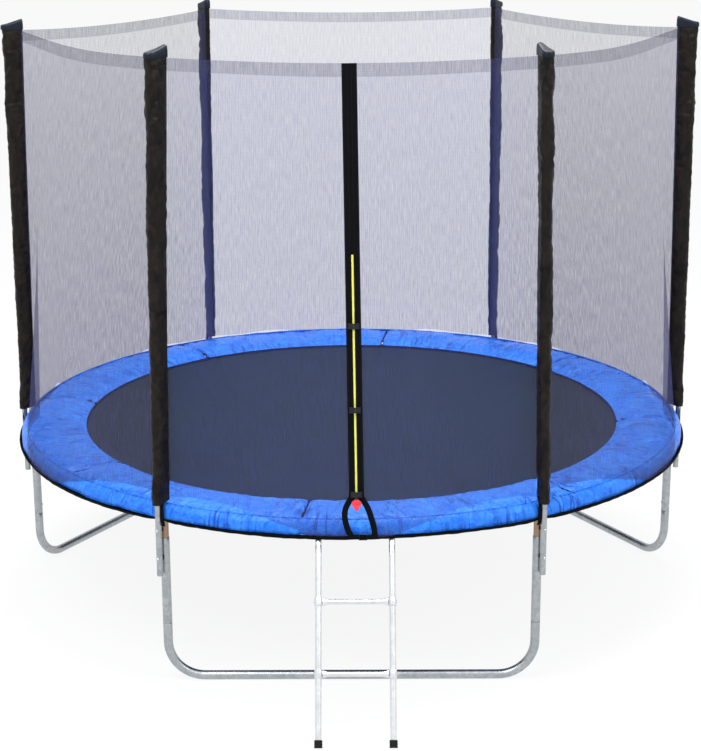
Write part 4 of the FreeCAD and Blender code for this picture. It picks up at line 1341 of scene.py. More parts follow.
@dataclass
class RimPad:
    """Eight foam sections in blue cloth that cover the springs, with a hanging skirt."""

    palette: Palette
    sections: int = 8
    first_seam: float = -97.5
    inner: float = 1.240
    welt: float = 1.502
    low: float = 0.7645
    droop: float = 0.0125
    edge: float = 0.010
    crown: float = 0.0145
    cover: float = 0.0016
    stations: int = 150
    columns: int = 30
    under_columns: int = 9
    lap: float = -0.09
    skirt_line: tuple[tuple[float, float], ...] = (
        (1.5000, 0.7745), (1.5065, 0.7750), (1.5150, 0.7710), (1.5235, 0.7635),
        (1.5300, 0.7530), (1.5338, 0.7410), (1.5350, 0.7290), (1.5338, 0.7170))

    def height_at(self, across: np.ndarray, along: np.ndarray) -> np.ndarray:
        """Foam thickness over the section; both inputs run from 0 to 1."""
        bulge = np.sin(np.pi * np.clip(across, 0, 1)) ** 0.3
        ends = np.sin(np.pi * np.clip(along, 0, 1)) ** 0.16
        foam = self.edge + (self.crown - self.edge) * np.sin(np.pi * across)
        return self.cover + foam * bulge * ends

    def underside(self, radius: np.ndarray) -> np.ndarray:
        """Height of the underside, which droops on to the mat's hem at the inner edge."""
        return self.low - self.droop * (1 - smooth_step(radius, self.inner, self.inner + 0.075))

    def section_mesh(self) -> tuple[bpy.types.Object, np.ndarray]:
        """One section about its own first seam, and how firmly each point is held."""
        along = (1 - np.cos(np.pi * np.linspace(0, 1, self.stations))) / 2
        along = 0.75 * np.linspace(0, 1, self.stations) + 0.25 * along
        azimuth = np.radians(along * (360 / self.sections + 2 * self.lap) - self.lap)
        to_seam = np.minimum(along, 1 - along) * math.tau / self.sections * self.inner
        inner = self.inner + 0.010 * np.exp(-(to_seam / 0.012) ** 2)
        loops = []
        for count, level in ((self.columns, 1), (self.under_columns, 0)):
            across = (1 - np.cos(np.pi * np.linspace(0, 1, count))) / 2
            across = 0.6 * np.linspace(0, 1, count) + 0.4 * across
            radius = inner[:, None] + (self.welt - inner)[:, None] * across[None, :]
            height = self.underside(radius) + 0.0008
            height += level * self.height_at(across[None, :], along[:, None])
            grid = np.stack((radius * np.cos(azimuth)[:, None],
                             radius * np.sin(azimuth)[:, None], height), -1)
            loops.append(grid if level else grid[:, ::-1])
        loop = np.concatenate(loops, 1)
        form = Form()
        form.capped(loop)
        piece = form.make("pad_section", [self.palette.blue_cloth], Edge.SOFT)
        points = vertices(piece.data)
        reach = np.hypot(points[:, 0], points[:, 1])
        turn = np.degrees(np.arctan2(points[:, 1], points[:, 0]))
        held = np.zeros(len(points))
        held[(turn < 0.1) | (turn > 360 / self.sections - 0.1)] = 1
        held[(reach > self.welt - 0.001) | (reach < self.inner + 0.0005)] = 1
        held[points[:, 2] < self.underside(reach) + 0.0012] = 1
        return piece, held

    def creases(self, points: np.ndarray, seed: float) -> np.ndarray:
        """Rise of the cover's creases, which run across the ring and fade inwards.

        Args:
            points: (n, 3) points of a turned section.
            seed: gives each section its own creases.

        Returns:
            One height for each point.
        """
        reach = np.hypot(points[:, 0], points[:, 1])
        arc = np.arctan2(points[:, 1], points[:, 0]) * 1.4
        rim = smooth_step(reach, self.inner + 0.02, self.welt - 0.02)
        drift = 0.05 * ripple(points, 0.3, seed + 70)
        flat = np.stack((arc + drift, reach * 0.22, 0 * arc), 1)
        sharp = 0.5 - 2 * np.abs(ripple(flat, 0.042, seed + 31))
        fine = ripple(flat * (1, 1.6, 1), 0.017, seed + 53)
        wide = ripple(points, 0.16, seed)
        keen = 0.5 - 2 * np.abs(ripple(flat * (1, 0.7, 1), 0.024, seed + 17))
        return 0.0022 * wide + 0.0026 * sharp * (0.4 + 0.6 * rim) \
            + 0.0017 * keen * (0.2 + 0.8 * rim) + 0.0010 * fine * rim

    def build(self) -> None:
        """Simulate one section and set eight differently creased copies."""
        base, held = self.section_mesh()
        swollen = Swelling(pressure=1.2, growth=0.035, limit=0.007).run(base, held)
        swollen[:, 2] = np.clip(swollen[:, 2], self.low - self.droop, self.low + 0.022)
        materials = list(base.data.materials)
        move_vertices(base.data, swollen)
        fine = refined(base)
        shape = vertices(fine.data)
        for index in range(self.sections):
            azimuth = self.first_seam + index * 360 / self.sections
            turned = spin(shape, azimuth)
            reach = np.hypot(turned[:, 0], turned[:, 1])
            rise = turned[:, 2] - self.underside(reach)
            turned[:, 2] += self.creases(turned, index + 1.0) * smooth_step(rise, 0.002, 0.008)
            mesh = fine.data.copy()
            move_vertices(mesh, turned)
            piece = link(f"pad_section_{index + 1}", mesh, materials, Edge.SOFT)
            place(piece, Body.FRAME, "safety_pad", slot="blue_pvc")
            self.skirt(index, azimuth)
        bpy.data.objects.remove(fine)
        self.seams()

    def skirt(self, index: int, azimuth: float) -> None:
        """Cover of one section from its welt over the ring and down: a gathered sheet."""
        turn = 360 / self.sections
        turns = np.linspace(-0.05, turn + 0.05, 300)
        line = fine_path(np.array([(r, 0, z) for r, z in self.skirt_line]), 2)
        shares = np.linspace(0, 1, len(line))
        spread, down = np.repeat(turns, len(line)), np.tile(shares, len(turns))
        arc = np.radians(spread) * self.skirt_line[-1][0]
        sample = np.stack((arc, down * 0.05, 0 * arc), 1)
        pucker = (0.5 - 2 * np.abs(ripple(sample * (1, 0.4, 1), 0.024, index + 3.0)))
        pucker *= np.exp(-down / 0.35)
        belly = ripple(sample * (1, 0.6, 1), 0.09, index + 60.0) * down
        out = np.tile(line[:, 0], len(turns)) + 0.0032 * pucker + 0.0050 * belly * np.sqrt(down)
        drop = ripple(sample * (1, 0, 1), 0.22, index + 90.0) * down ** 2
        rise = np.tile(line[:, 2], len(turns)) + 0.0016 * pucker + 0.004 * drop
        spots = np.radians(spread + azimuth)
        grid = np.stack((out * np.cos(spots), out * np.sin(spots), rise), 1)
        form = Form()
        form.grid(grid.reshape(len(turns), len(line), 3))
        piece = form.make(f"pad_skirt_{index + 1}", [self.palette.blue_cloth], Edge.SOFT,
                          closed=False)
        piece = thickened(piece, 0.0011, 0)
        place(piece, Body.FRAME, slot="blue_pvc")

    def seams(self) -> None:
        """Piping along the outer edge of the foam, rows of stitches beside it and dark strips of
        painted shade over the seams.
        """
        form = Form()
        rows = []
        for index in range(self.sections):
            start = self.first_seam + index * 360 / self.sections
            turns = np.linspace(0.1, 360 / self.sections - 0.1, 120)
            sample = np.stack((turns * 0.026, 0 * turns, 0 * turns), 1)
            bow = 0.0012 * ripple(sample, 0.05, index + 11.0)
            line = np.array([polar(self.welt + 0.0008 + b, start + turn, self.low + 0.0118 + b)
                             for turn, b in zip(turns, bow)])
            form.bar(line, 0.0026, sides=8)
            rows.append(np.array([polar(self.welt + 0.0078 + b, start + turn,
                                        self.low + 0.0108) for turn, b in zip(turns, bow)]))
        piping = form.make("pad_piping", [self.palette.blue_cloth], Edge.SOFT)
        place(piping, Body.FRAME, slot="blue_pvc")
        # real stitches, drawn thick and dark so that they also paint the shade of the welt's
        # crease
        sewn = stitched("pad_stitches", rows, self.palette.thread, pitch=0.009, length=0.007,
                        thread=0.0018)
        place(sewn, Body.FRAME, slot="black_webbing")
        # dark strips over the seams between sections: painted shade of the grooves there
        joints = Form()
        for index in range(self.sections):
            azimuth = self.first_seam + index * 360 / self.sections
            strip = np.array([[(radius, side, self.low + rise)
                               for side, rise in ((-0.008, 0.0012), (-0.006, 0.0024),
                                                  (0.006, 0.0024), (0.008, 0.0012))]
                              for radius in np.linspace(self.inner + 0.02, self.welt, 8)])
            joints.grid(spin(strip, azimuth))
        tape = joints.make("pad_joint_tape", [self.palette.webbing], Edge.SOFT, closed=False)
        place(thickened(tape, 0.001, 0), Body.FRAME, slot="black_webbing")


@dataclass
class PoleSet:
    """Poles with their bolts and spacers, padded sleeves, hats and straps."""

    palette: Palette
    radius: float = 1.546
    tube: float = 0.025
    wall: float = 0.0012
    bottom: float = 0.475
    top: float = 2.545
    leg_radius: float = 1.506
    bolt_heights: tuple[float, float] = (0.547, 0.668)
    sleeve_bottom: float = 0.780
    sleeve_top: float = 2.553
    foam: float = 0.0222
    nose: float = 1.495
    nose_half: float = 0.0105
    nose_reach: float = 0.018
    nose_spread: float = 0.002
    foot_rise: float = 0.013
    twists: tuple[float, ...] = (0.0, 4.0, -3.0, 0.0, -20.0, -9.0)

    def twisted(self, points: np.ndarray, index: int) -> np.ndarray:
        """Points about azimuth 0 turned about their pole, which each sleeve does its own way."""
        middle = np.array((self.radius, 0, 0))
        return spin(points - middle, self.twists[index]) + middle

    def outline(self, grow: float, rise: float, count: int = 40) -> np.ndarray:
        """Teardrop outline about azimuth 0, whose flat inner side widens as it rises.

        Args:
            grow: how far it stands off the sleeve.
            rise: share of the sleeve's height.
            count: number of points.

        Returns:
            (count, 2) array of x and y.
        """
        radius = self.foam + grow
        nose = self.nose - grow - self.nose_reach * rise
        half = self.nose_half + grow + self.nose_spread * rise
        reach = math.hypot(self.radius - nose, half)
        turn = math.pi - math.acos(radius / reach) - math.atan2(half, self.radius - nose)
        back = [(self.radius + radius * math.cos(angle), radius * math.sin(angle))
                for angle in np.linspace(-turn, turn, 26)]
        start, end = np.array(back[-1]), np.array((nose, half))
        side = [tuple(start + (end - start) * share) for share in np.linspace(0, 1, 6)[1:]]
        side += [(nose - 0.003, half * 0.75), (nose - 0.0045, half * 0.35)]
        points = np.array(back + side + [(x, -y) for x, y in side[::-1]])
        closed = np.vstack((points, points[:1]))
        steps = np.concatenate(([0], np.cumsum(np.linalg.norm(np.diff(closed, axis=0), axis=1))))
        marks = np.linspace(0, steps[-1], count, endpoint=False)
        return np.stack([np.interp(marks, steps, closed[:, axis]) for axis in (0, 1)], 1)

    def poles(self) -> None:
        """Straight poles."""
        for index, azimuth in enumerate(LEG_AZIMUTHS, 1):
            line = np.array([(self.radius, 0, height)
                             for height in np.linspace(self.bottom, self.top, 24)])
            path = drawn_in(spin(line, azimuth))
            form = Form()
            form.tube(path, self.tube / 2, self.wall, sides=24, rim=1)
            piece = form.make(f"net_pole_{index}", [self.palette.tube, self.palette.cut_edge])
            place(piece, Body.FRAME, f"pole_{index}", slot="galvanised_tube")

    def fasteners(self) -> None:
        """Domed bolt heads outside, closed nuts inside and saddles between the tubes."""
        face = self.radius + self.tube / 2
        spots = [(polar(face - 0.0006, azimuth, height), polar(1, azimuth))
                 for azimuth in LEG_AZIMUTHS for height in self.bolt_heights]
        heads = scattered("pole_bolt_heads", domed_head(0.0135, 0.005), spots,
                          self.palette.plated)
        place(heads, Body.FRAME, "pole_bolts", slot="plated_steel")
        nut = Form()
        six = [[(size * math.cos(turn), size * math.sin(turn), rise)
                for turn in circle(6)]
               for size, rise in ((0.0056, 0), (0.0056, 0.0036), (0.0046, 0.0044),
                                  (0.0034, 0.0062), (0.0016, 0.0072))]
        nut.capped(np.array(six))
        reach = {height: 0.019 if height < 0.627 else 0.0172 for height in self.bolt_heights}
        spots = [(polar(self.leg_radius - reach[height] + 0.0004, azimuth, height),
                  -polar(1, azimuth))
                 for azimuth in LEG_AZIMUTHS for height in self.bolt_heights]
        nuts = scattered("pole_cap_nuts", nut.make("nut_template", []), spots,
                         self.palette.plated)
        place(nuts, Body.FRAME, "pole_nuts", slot="plated_steel")
        form = Form()
        for azimuth in LEG_AZIMUTHS:
            for height in self.bolt_heights:
                form.capped(spin(self.saddle(reach[height], height), azimuth))
        piece = form.make("pole_saddles", [self.palette.plastic], Edge.CRISP)
        place(piece, Body.FRAME, "pole_spacers", slot="black_plastic")

    def saddle(self, leg: float, height: float) -> np.ndarray:
        """Levels of one spacer, hollowed to sit on the leg and on the pole."""
        half = 0.0072
        near = [(self.leg_radius + math.sqrt(leg ** 2 - y ** 2), y)
                for y in np.linspace(-half, half, 7)]
        far = [(self.radius - math.sqrt((self.tube / 2) ** 2 - y ** 2), y)
               for y in np.linspace(half, -half, 7)]
        plan = np.array(near + far)
        middle = plan.mean(0)
        levels = ((-half, 0.86), (-half + 0.0012, 1.0), (half - 0.0012, 1.0), (half, 0.86))
        return np.array([[(middle[0] + (x - middle[0]), middle[1] + (y - middle[1]) * size,
                           height + rise) for x, y in plan] for rise, size in levels])

    def sleeve_shape(self) -> bpy.types.Object:
        """Cover of one sleeve, swollen by its foam and creased."""
        rings = []
        for rise in np.linspace(0, 1, 150):
            plan = self.outline(-0.0006, rise)
            lift = self.foot_rise * smooth_step(self.radius - plan[:, 0], 0, 0.06) * (1 - rise)
            level = self.sleeve_bottom + (self.sleeve_top - self.sleeve_bottom) * rise
            rings.append(np.column_stack((plan, level + lift)))
        form = Form()
        form.grid(np.stack(rings), wrap_v=True)
        piece = form.make("sleeve_cover", [self.palette.sleeve_cloth], Edge.SOFT)
        points = vertices(piece.data)
        held = np.zeros(len(points))
        rise = (points[:, 2] - self.sleeve_bottom) / (self.sleeve_top - self.sleeve_bottom)
        held[points[:, 0] < self.nose - self.nose_reach * rise + 0.003] = 1
        held[points[:, 2] > self.sleeve_top - 0.02] = 1
        held[points[:, 2] < self.sleeve_bottom + 0.018] = 0.8
        swollen = Swelling(pressure=1.5, growth=0.045, limit=0.006).run(piece, held)
        move_vertices(piece.data, swollen)
        return refined(piece)

    def sleeves(self) -> None:
        """Six sleeves with their own twist and creases."""
        fine = self.sleeve_shape()
        shape = vertices(fine.data)
        for index, azimuth in enumerate(LEG_AZIMUTHS, 1):
            points = shape.copy()
            rise = (points[:, 2] - self.sleeve_bottom) / (self.sleeve_top - self.sleeve_bottom)
            calm = np.sin(np.pi * np.clip(rise, 0, 1)) ** 0.5
            outward = points[:, :2] - np.array((self.radius, 0))
            length = np.linalg.norm(outward, axis=1)[:, None]
            free = smooth_step(points[:, 0], self.nose - 0.01, self.nose + 0.03)
            tilt = points * (0.8, 0.8, 1.7) + points[:, [1]] * (0, 0, 0.9)
            swell = 0.0016 * ripple(tilt, 0.04, index * 2.0) \
                + 0.0009 * ripple(tilt, 0.016, index * 7.0) \
                + 0.0020 * ripple(points * (1, 1, 0.5), 0.11, index * 5.0)
            points[:, :2] += outward / length * (swell * (0.3 + free))[:, None]
            lean = 0.004 * ripple(np.stack((0 * rise, 0 * rise, rise), 1), 0.3, index * 9.0)
            points[:, 1] += lean * calm
            mesh = fine.data.copy()
            points = spin(self.twisted(points, index - 1), azimuth)
            move_vertices(mesh, drawn_in(points))
            piece = link(f"sleeve_{index}", mesh, [self.palette.sleeve_cloth], Edge.SOFT)
            piece = thickened(piece, 0.0012, -1)
            place(piece, Body.FRAME, f"pole_sleeve_{index}", slot="sleeve_pvc")
        bpy.data.objects.remove(fine)

    def hat_ring(self, level: float, grow: float, tilt: float) -> np.ndarray:
        """One level of a hat about azimuth 0; the tilt lifts it towards the nose."""
        plan = self.outline(grow, 1.0)
        length = self.foam + self.radius - self.nose + self.nose_reach
        share = (self.radius + self.foam - plan[:, 0]) / length
        return np.column_stack((plan, level + tilt * np.clip(share, 0, 1) ** 1.5))

    def hats(self) -> None:
        """Glossy hats over the sleeves, higher towards the net."""
        form = Form()
        for index, azimuth in enumerate(LEG_AZIMUTHS):
            levels = ((2.5425, 0.0004, 0), (2.5425, 0.0022, 0), (2.5445, 0.0026, 0),
                      (2.555, 0.0024, 0.012), (2.560, 0.0014, 0.020), (2.5625, -0.0006, 0.024),
                      (2.5638, -0.0045, 0.026), (2.5642, -0.011, 0.026))
            rings = [self.hat_ring(level, grow, tilt) for level, grow, tilt in levels]
            grid = drawn_in(spin(self.twisted(np.stack(rings), index), azimuth))
            form.grid(grid, wrap_v=True)
            form.lid(grid[-1])
            under = self.twisted(self.hat_ring(2.555, 0.0004, 0), index)
            under = drawn_in(spin(under, azimuth))
            form.grid(np.stack((under, grid[0])), wrap_v=True)
            form.lid(under)
        piece = form.make("sleeve_hats", [self.palette.cap_plastic], Edge.ROUNDED)
        place(piece, Body.FRAME, "sleeve_caps", slot="black_plastic")

    def straps(self) -> None:
        """Webbing straps from each sleeve's foot over the pad's edge, on the door's side."""
        form = Form()
        half, thick = 0.009, 0.0014
        line = fine_path(np.array([(1.526, 0.012, 0.806), (1.536, 0.014, 0.789),
                                   (1.5445, 0.018, 0.770), (1.5480, 0.021, 0.742),
                                   (1.5470, 0.022, 0.716), (1.5420, 0.022, 0.690)]), 4)
        for azimuth in LEG_AZIMUTHS:
            side = 1 if 90 < azimuth < 270 else -1
            rows = []
            for step, (x, off, z) in enumerate(line):
                bow = 0.0010 * math.sin(step * 0.9 + azimuth)
                middle = side * off
                rows.append([(x + bow, middle - half, z), (x + bow + 0.001, middle, z),
                             (x + bow, middle + half, z), (x + bow + thick, middle + half, z),
                             (x + bow + thick + 0.001, middle, z),
                             (x + bow + thick, middle - half, z)])
            form.capped(spin(np.array(rows), azimuth))
        piece = form.make("foot_straps", [self.palette.webbing], Edge.CRISP)
        place(piece, Body.FRAME, "sleeve_straps", slot="black_webbing")

    def build(self) -> None:
        """All poles."""
        self.poles()
        self.fasteners()
        self.sleeves()
        self.hats()
        self.straps()


# ----------------------------------------------------------------- enclosure


@dataclass
class DoorLine:
    """The straight line of the door: its foot, its directions and its length."""

    foot: Vector = field(default_factory=lambda: Vector((0.024, -1.5496, 0.742)))
    up: Vector = field(default_factory=lambda: Vector((-0.013373961, 0.146529727, 0.989115856)))
    out: Vector = field(default_factory=lambda: Vector((-0.001981066, -0.989206267,
                                                       0.146516334)))
    across: Vector = field(default_factory=lambda: Vector((0.999908602, 0.0, 0.013519891)))
    length: float = 1.7945
    straps: tuple[tuple[tuple[float, float], ...], ...] = (
        ((-0.0175, 0.137), (-0.043, 0.092), (-0.046, 0.050), (-0.036, 0.008), (-0.020, -0.024)),
        ((0.0175, 0.137), (0.043, 0.092), (0.058, 0.045), (0.068, 0.0), (0.066, -0.024)))

    def at(self, across: float, up: float, out: float) -> tuple[float, float, float]:
        """Point of the door from distances across, up and out."""
        return tuple(self.foot + self.across * across + self.up * up + self.out * out)


@dataclass
class NetWall:
    """Six net panels sewn to the sleeves, with a doubled top hem and a gathered foot."""

    palette: Palette
    door: DoorLine
    nose: float = 1.4865
    corner_top: float = 2.540
    sag: float = 0.023
    bottom: float = 0.7165
    bottom_radius: float = 1.5455
    side_gap: float = 1.6
    give: float = 0.003
    tuck_reach: float = 0.19
    hem: float = 0.05
    columns: int = 60
    rows: int = 48

    def held_back(self, point: np.ndarray, nose: float) -> np.ndarray:
        """A point of the cloth kept on the inner side of both sleeves' noses.

        Args:
            point: about azimuth 0.
            nose: how far out the noses stand at its height.

        Returns:
            The point, moved inwards where it stood out too far.
        """
        for side in (-0.5, 0.5):
            away = np.array((math.cos(math.radians(30)), side, 0.0))
            over = self.give * np.logaddexp(0.0, (point @ away - nose) / self.give)
            point = point - over * away
        return point

    def point(self, across: float, rise: float, seed: float) -> np.ndarray:
        """Point of a panel about azimuth 0; both shares run from 0 to 1."""
        half = 30 - self.side_gap
        edge = min(across, 1 - across)
        side = 2 * across - 1
        turn = math.radians(half * side)
        nose = self.nose + 0.010 * (1 - rise)
        width = nose * math.sin(math.radians(30)) - 0.0052
        top = np.array((nose * math.cos(math.radians(30)), width * side,
                        self.corner_top - self.sag * (1 - side * side)))
        tuck = math.exp(-((edge / self.tuck_reach) ** 2))
        low = np.array((self.bottom_radius * math.cos(turn) * (1 - tuck) + top[0] * tuck,
                        self.bottom_radius * math.sin(turn) * (1 - tuck) + top[1] * tuck, 0.0))
        low = self.held_back(low, nose)
        low[2] = np.interp(math.hypot(low[0], low[1]), (1.48, 1.506, 1.516, 1.536, 1.544),
                           (0.796, 0.788, 0.780, 0.752, self.bottom))
        close = 1 - (1 - rise) ** (1 + 6 * math.exp(-edge / 0.05))
        point = low + (top - low) * np.array((close, close, rise))
        swell = math.sin(math.pi * across) * math.sin(math.pi * rise)
        fold = math.exp(-edge / 0.06) * (1 - math.exp(-edge / 0.012))
        sample = Vector((across * 9, rise * 2.2, seed * 3.7))
        soft = noise.noise(sample) * 0.010 * swell
        tight = noise.noise(Vector((across * 34, rise * 5, seed))) * 0.006 * fold * swell
        point[0] += soft + tight
        return point

    def panel(self, index: int) -> None:
        """One panel with its hem."""
        azimuth = 60.0 * index + 30.0
        is_front = math.isclose(azimuth, FRONT)
        shares = np.linspace(0, 1, self.columns + 1)
        rises = np.concatenate((np.linspace(0, 0.1, 13)[:-1], np.linspace(0.1, 1, self.rows)))
        middle = self.columns // 2
        halves = [(0, middle), (middle, self.columns)] if is_front else [(0, self.columns)]
        form = Form()
        cloth = []
        for number, (start, end) in enumerate(halves):
            picks = shares[start:end + 1]
            grid = drawn_in(spin(np.array([[self.point(u, v, index + 1.0) for v in rises]
                                           for u in picks]), azimuth))
            form.grid(self.parted(grid, number) if is_front else grid)
            cloth += [(u * 1.5, v * 1.8) for u in picks for v in rises]
        along_view = math.isclose(azimuth % 180, FRONT % 180)
        finish = self.palette.netting if along_view else self.palette.side_netting
        piece = self.netted(f"net_{index + 1}", form, cloth, finish)
        place(piece, Body.FRAME, f"net_panel_{index + 1}", slot="net_mesh")
        self.top_hem(index, azimuth)

    def parted(self, grid: np.ndarray, number: int) -> np.ndarray:
        """Front half panel whose door edge follows the door and its foot strap.

        Args:
            grid: (columns, rows, 3) points.
            number: 0 for the left half and 1 for the right half.

        Returns:
            The moved grid.
        """
        edge = -1 if number == 0 else 0
        strap = np.array(self.door.straps[number])[::-1]
        moved = grid.copy()
        span = np.linspace(0, 1, grid.shape[0])
        weight = span if number == 0 else 1 - span
        for row in range(grid.shape[1]):
            up = (grid[edge, row, 2] - self.door.foot.z) / self.door.up.z
            spread = float(np.interp(up, strap[:, 1], strap[:, 0])) if up < 0.137 else 0.0
            step = self.door.at(spread, up, 0.0)[0] - grid[edge, row, 0]
            moved[:, row, 0] += step * weight ** (1.0 if up > 0.2 else 6.0)
        return moved

    def netted(self, name: str, form: Form, cloth: list[tuple[float, float]],
               finish: bpy.types.Material) -> bpy.types.Object:
        """Make an open sheet with its own flat coordinates in metres."""
        mesh = bpy.data.meshes.new(name)
        mesh.from_pydata(np.concatenate(form.points).tolist(), [], form.faces)
        layer = mesh.uv_layers.new(name="cloth")
        corners = np.zeros(len(mesh.loops), np.int32)
        mesh.loops.foreach_get("vertex_index", corners)
        layer.data.foreach_set("uv", np.array(cloth, np.float32)[corners].ravel())
        return link(name, mesh, [finish], Edge.SOFT)

    def top_hem(self, index: int, azimuth: float) -> None:
        """Turned-over band along the top edge of a panel."""
        shares = np.linspace(0.0, 1.0, 41)
        rises = np.linspace(1 - self.hem / 1.8, 1.0, 5)
        grid = np.array([[self.point(u, v, index + 1.0) + np.array((0.0016, 0, 0))
                          for v in rises] for u in shares])
        form = Form()
        form.grid(drawn_in(spin(grid, azimuth)))
        cloth = [(u * 1.5 + 0.002, v * 1.8 + 0.002) for u in shares for v in rises]
        piece = self.netted(f"net_hem_{index + 1}", form, cloth, self.palette.hem_netting)
        place(piece, Body.FRAME, slot="net_mesh")

    def foot_hem(self) -> None:
        """Black gathered hem that ties the net under the pad's skirt."""
        turns = np.linspace(0, 360, 481)[:-1]
        sample = np.stack((np.cos(np.radians(turns)), np.sin(np.radians(turns)), 0 * turns), 1)
        gather = ripple(sample * 1.5, 0.03, 4.0)
        deep = 0.006 + 0.010 * (0.5 + 0.5 * ripple(sample, 0.35, 9.0))
        rows = []
        for out, share in ((0.0006, 0.0), (0.0012, 0.5), (-0.001, 1.0), (-0.008, 1.25),
                           (-0.019, 1.1), (-0.030, 0.6)):
            to_pole = np.abs((turns + 30) % 60 - 30)
            radius = self.bottom_radius + out + 0.0014 * gather * share
            radius -= 0.0155 * np.exp(-((to_pole / 1.6) ** 2))
            height = self.bottom + 0.002 - deep * share - 0.0015 * gather * share
            rows.append(np.stack((radius * np.cos(np.radians(turns)),
                                  radius * np.sin(np.radians(turns)), height), 1))
        form = Form()
        form.grid(np.stack(rows), wrap_v=True)
        piece = form.make("net_foot_hem", [self.palette.webbing], Edge.SOFT, closed=False)
        place(thickened(piece, 0.0014, 0), Body.FRAME, slot="black_webbing")

    def build(self) -> None:
        """All panels."""
        for index in range(6):
            self.panel(index)
        self.foot_hem()


@dataclass
class ZipDoor:
    """Webbing on both sides of the zip, the coil, its slider and pull, and three clips."""

    palette: Palette
    door: DoorLine
    half_width: float = 0.029
    strap_width: float = 0.023
    thick: float = 0.0016
    zip_low: float = 0.157
    zip_high: float = 1.074
    coil_width: float = 0.0075
    pin_up: float = 0.127
    pin_out: float = 0.0083

    def ribbon(self, form: Form, line: np.ndarray, width: np.ndarray, out: np.ndarray) -> None:
        """Add a flat band whose middle runs along a line of the door.

        Args:
            form: receives the band.
            line: (n, 2) distances across and up.
            width: of the band at each point.
            out: how far its back stands off the door at each point.
        """
        along = np.gradient(line, axis=0)
        along /= np.maximum(np.linalg.norm(along, axis=1), 1e-9)[:, None]
        side = np.stack((along[:, 1], -along[:, 0]), 1)
        rows = []
        for middle, across, wide, off in zip(line, side, width, out):
            rows.append([self.door.at(*(middle + across * wide / 2 * share), off + rise)
                         for share, rise in ((-1, 0), (0, 0.001), (1, 0), (1, self.thick),
                                             (0, self.thick + 0.001), (-1, self.thick))])
        form.capped(np.array(rows))

    def strip(self) -> None:
        """Two bands that meet over the zip, part at its foot and end in a cross strap."""
        form = Form()
        for sign, strap in zip((-1, 1), self.door.straps):
            low = fine_path(np.array([(x, 0, y) for x, y in strap[::-1]]), 5)[:, [0, 2]]
            high = np.array([(sign * self.half_width / 2, up)
                             for up in np.linspace(0.155, self.door.length, 90)])
            line = np.concatenate((low, high))
            grown = smooth_step(line[:, 1], 0.12, 0.16)
            width = self.strap_width + (self.half_width - self.strap_width) * grown
            wave = np.array([noise.noise(Vector((up * 9, sign * 2.0, 0))) for up in line[:, 1]])
            bow = np.sin(np.pi * np.clip((line[:, 1] + 0.024) / 0.17, 0, 1))
            self.ribbon(form, line, width, 0.0012 + 0.002 * wave + 0.004 * bow)
        reach = np.linspace(-0.030, 0.077, 16)
        self.ribbon(form, np.stack((reach, -0.022 + 0.0015 * np.cos(reach * 60)), 1),
                    np.full(16, 0.018), 0.0042 + 0.0008 * np.cos(reach * 90))
        # buckle in the hats' black plastic, whose blue tint is a painted reflection of sky
        frame_line = [self.door.at(0.023 + x, -0.022 + y, 0.0085)
                      for x, y in ((-0.0155, -0.0105), (0.0155, -0.0105), (0.0155, 0.0105),
                                   (0, 0.0105), (0, -0.0105), (0, 0.0105), (-0.0155, 0.0105))]
        buckle = Form()
        buckle.bar(np.array(frame_line), 0.0018, sides=8, closed=True)
        place(buckle.make("door_buckle", [self.palette.cap_plastic]), Body.FRAME,
              slot="black_plastic")
        piece = form.make("door_bands", [self.palette.webbing], Edge.ROUNDED)
        place(piece, Body.FRAME, "door_binding", slot="black_webbing")
        rows = [np.array([self.door.at(sign * across, up, 0.0050)
                          for up in np.linspace(0.165, self.door.length - 0.01, 60)])
                for sign in (-1, 1) for across in (0.008, 0.025)]
        sewn = stitched("door_stitches", rows, self.palette.thread, pitch=0.008, length=0.0055,
                        thread=0.0011)
        place(sewn, Body.FRAME, slot="black_webbing")

    def coil(self) -> None:
        """Zip coil as one row of turns across the door, set by Geometry Nodes."""
        tooth = Form()
        tooth.bar(np.array([(-self.coil_width / 2, 0, 0), (-self.coil_width / 4, 0, 0.0012),
                            (self.coil_width / 4, 0, 0.0012), (self.coil_width / 2, 0, 0)]),
                  0.0009, sides=5)
        template = tooth.make("tooth_template", [])
        mark = Vector(self.door.out)
        spots = [(Vector(self.door.at(0, up, self.thick + 0.0012)), mark)
                 for up in np.arange(self.zip_low, self.zip_high, 0.0024)]
        piece = scattered("zip_teeth", template, spots, self.palette.coil,
                          side=Vector(self.door.across))
        place(piece, Body.FRAME, "zip_coil", slot="yellow_coil")

    def pull(self) -> None:
        """Red tape pull on the slider's pin, folded and frayed at its end."""
        pin = Vector(self.door.at(0, self.pin_up, self.pin_out))
        rows = []
        for share in np.linspace(0, 1, 26):
            half = 0.007 + 0.012 * float(smooth_step(np.array(share), 0.0, 0.22))
            half -= 0.013 * float(smooth_step(np.array(share), 0.4, 1.0))
            curl = 0.0022 * math.sin(share * 9)
            rows.append([tuple(pin - self.door.up * (0.043 * share)
                               + self.door.across * (side * half * (1 + 0.06 * wear))
                               + self.door.out * (curl * (1 + side) + thick))
                         for side, thick in ((-1, 0), (-0.5, 0.0006), (0.5, -0.0006), (1, 0),
                                             (1, 0.0016), (0.5, 0.0014), (-0.5, 0.0020),
                                             (-1, 0.0016))
                         for wear in (noise.noise(Vector((share * 30, side * 4, 0))),)])
        form = Form()
        form.capped(np.array(rows))
        loop = [pin + self.door.up * (0.0032 * math.cos(turn))
                + self.door.out * (0.0007 + 0.0026 * math.sin(turn))
                for turn in circle(20)]
        form.bar(np.array(loop), 0.0009, sides=6, closed=True)
        piece = form.make("pull_tab", [self.palette.red_tape], Edge.ROUNDED)
        place(piece, Body.PULL, "zip_pull", slot="red_tab")

    def build(self) -> None:
        """All of the door; slider and clips stay as the CAD nodes with their own finish."""
        self.strip()
        self.coil()
        self.pull()


# -------------------------------------------------------------------- ladder


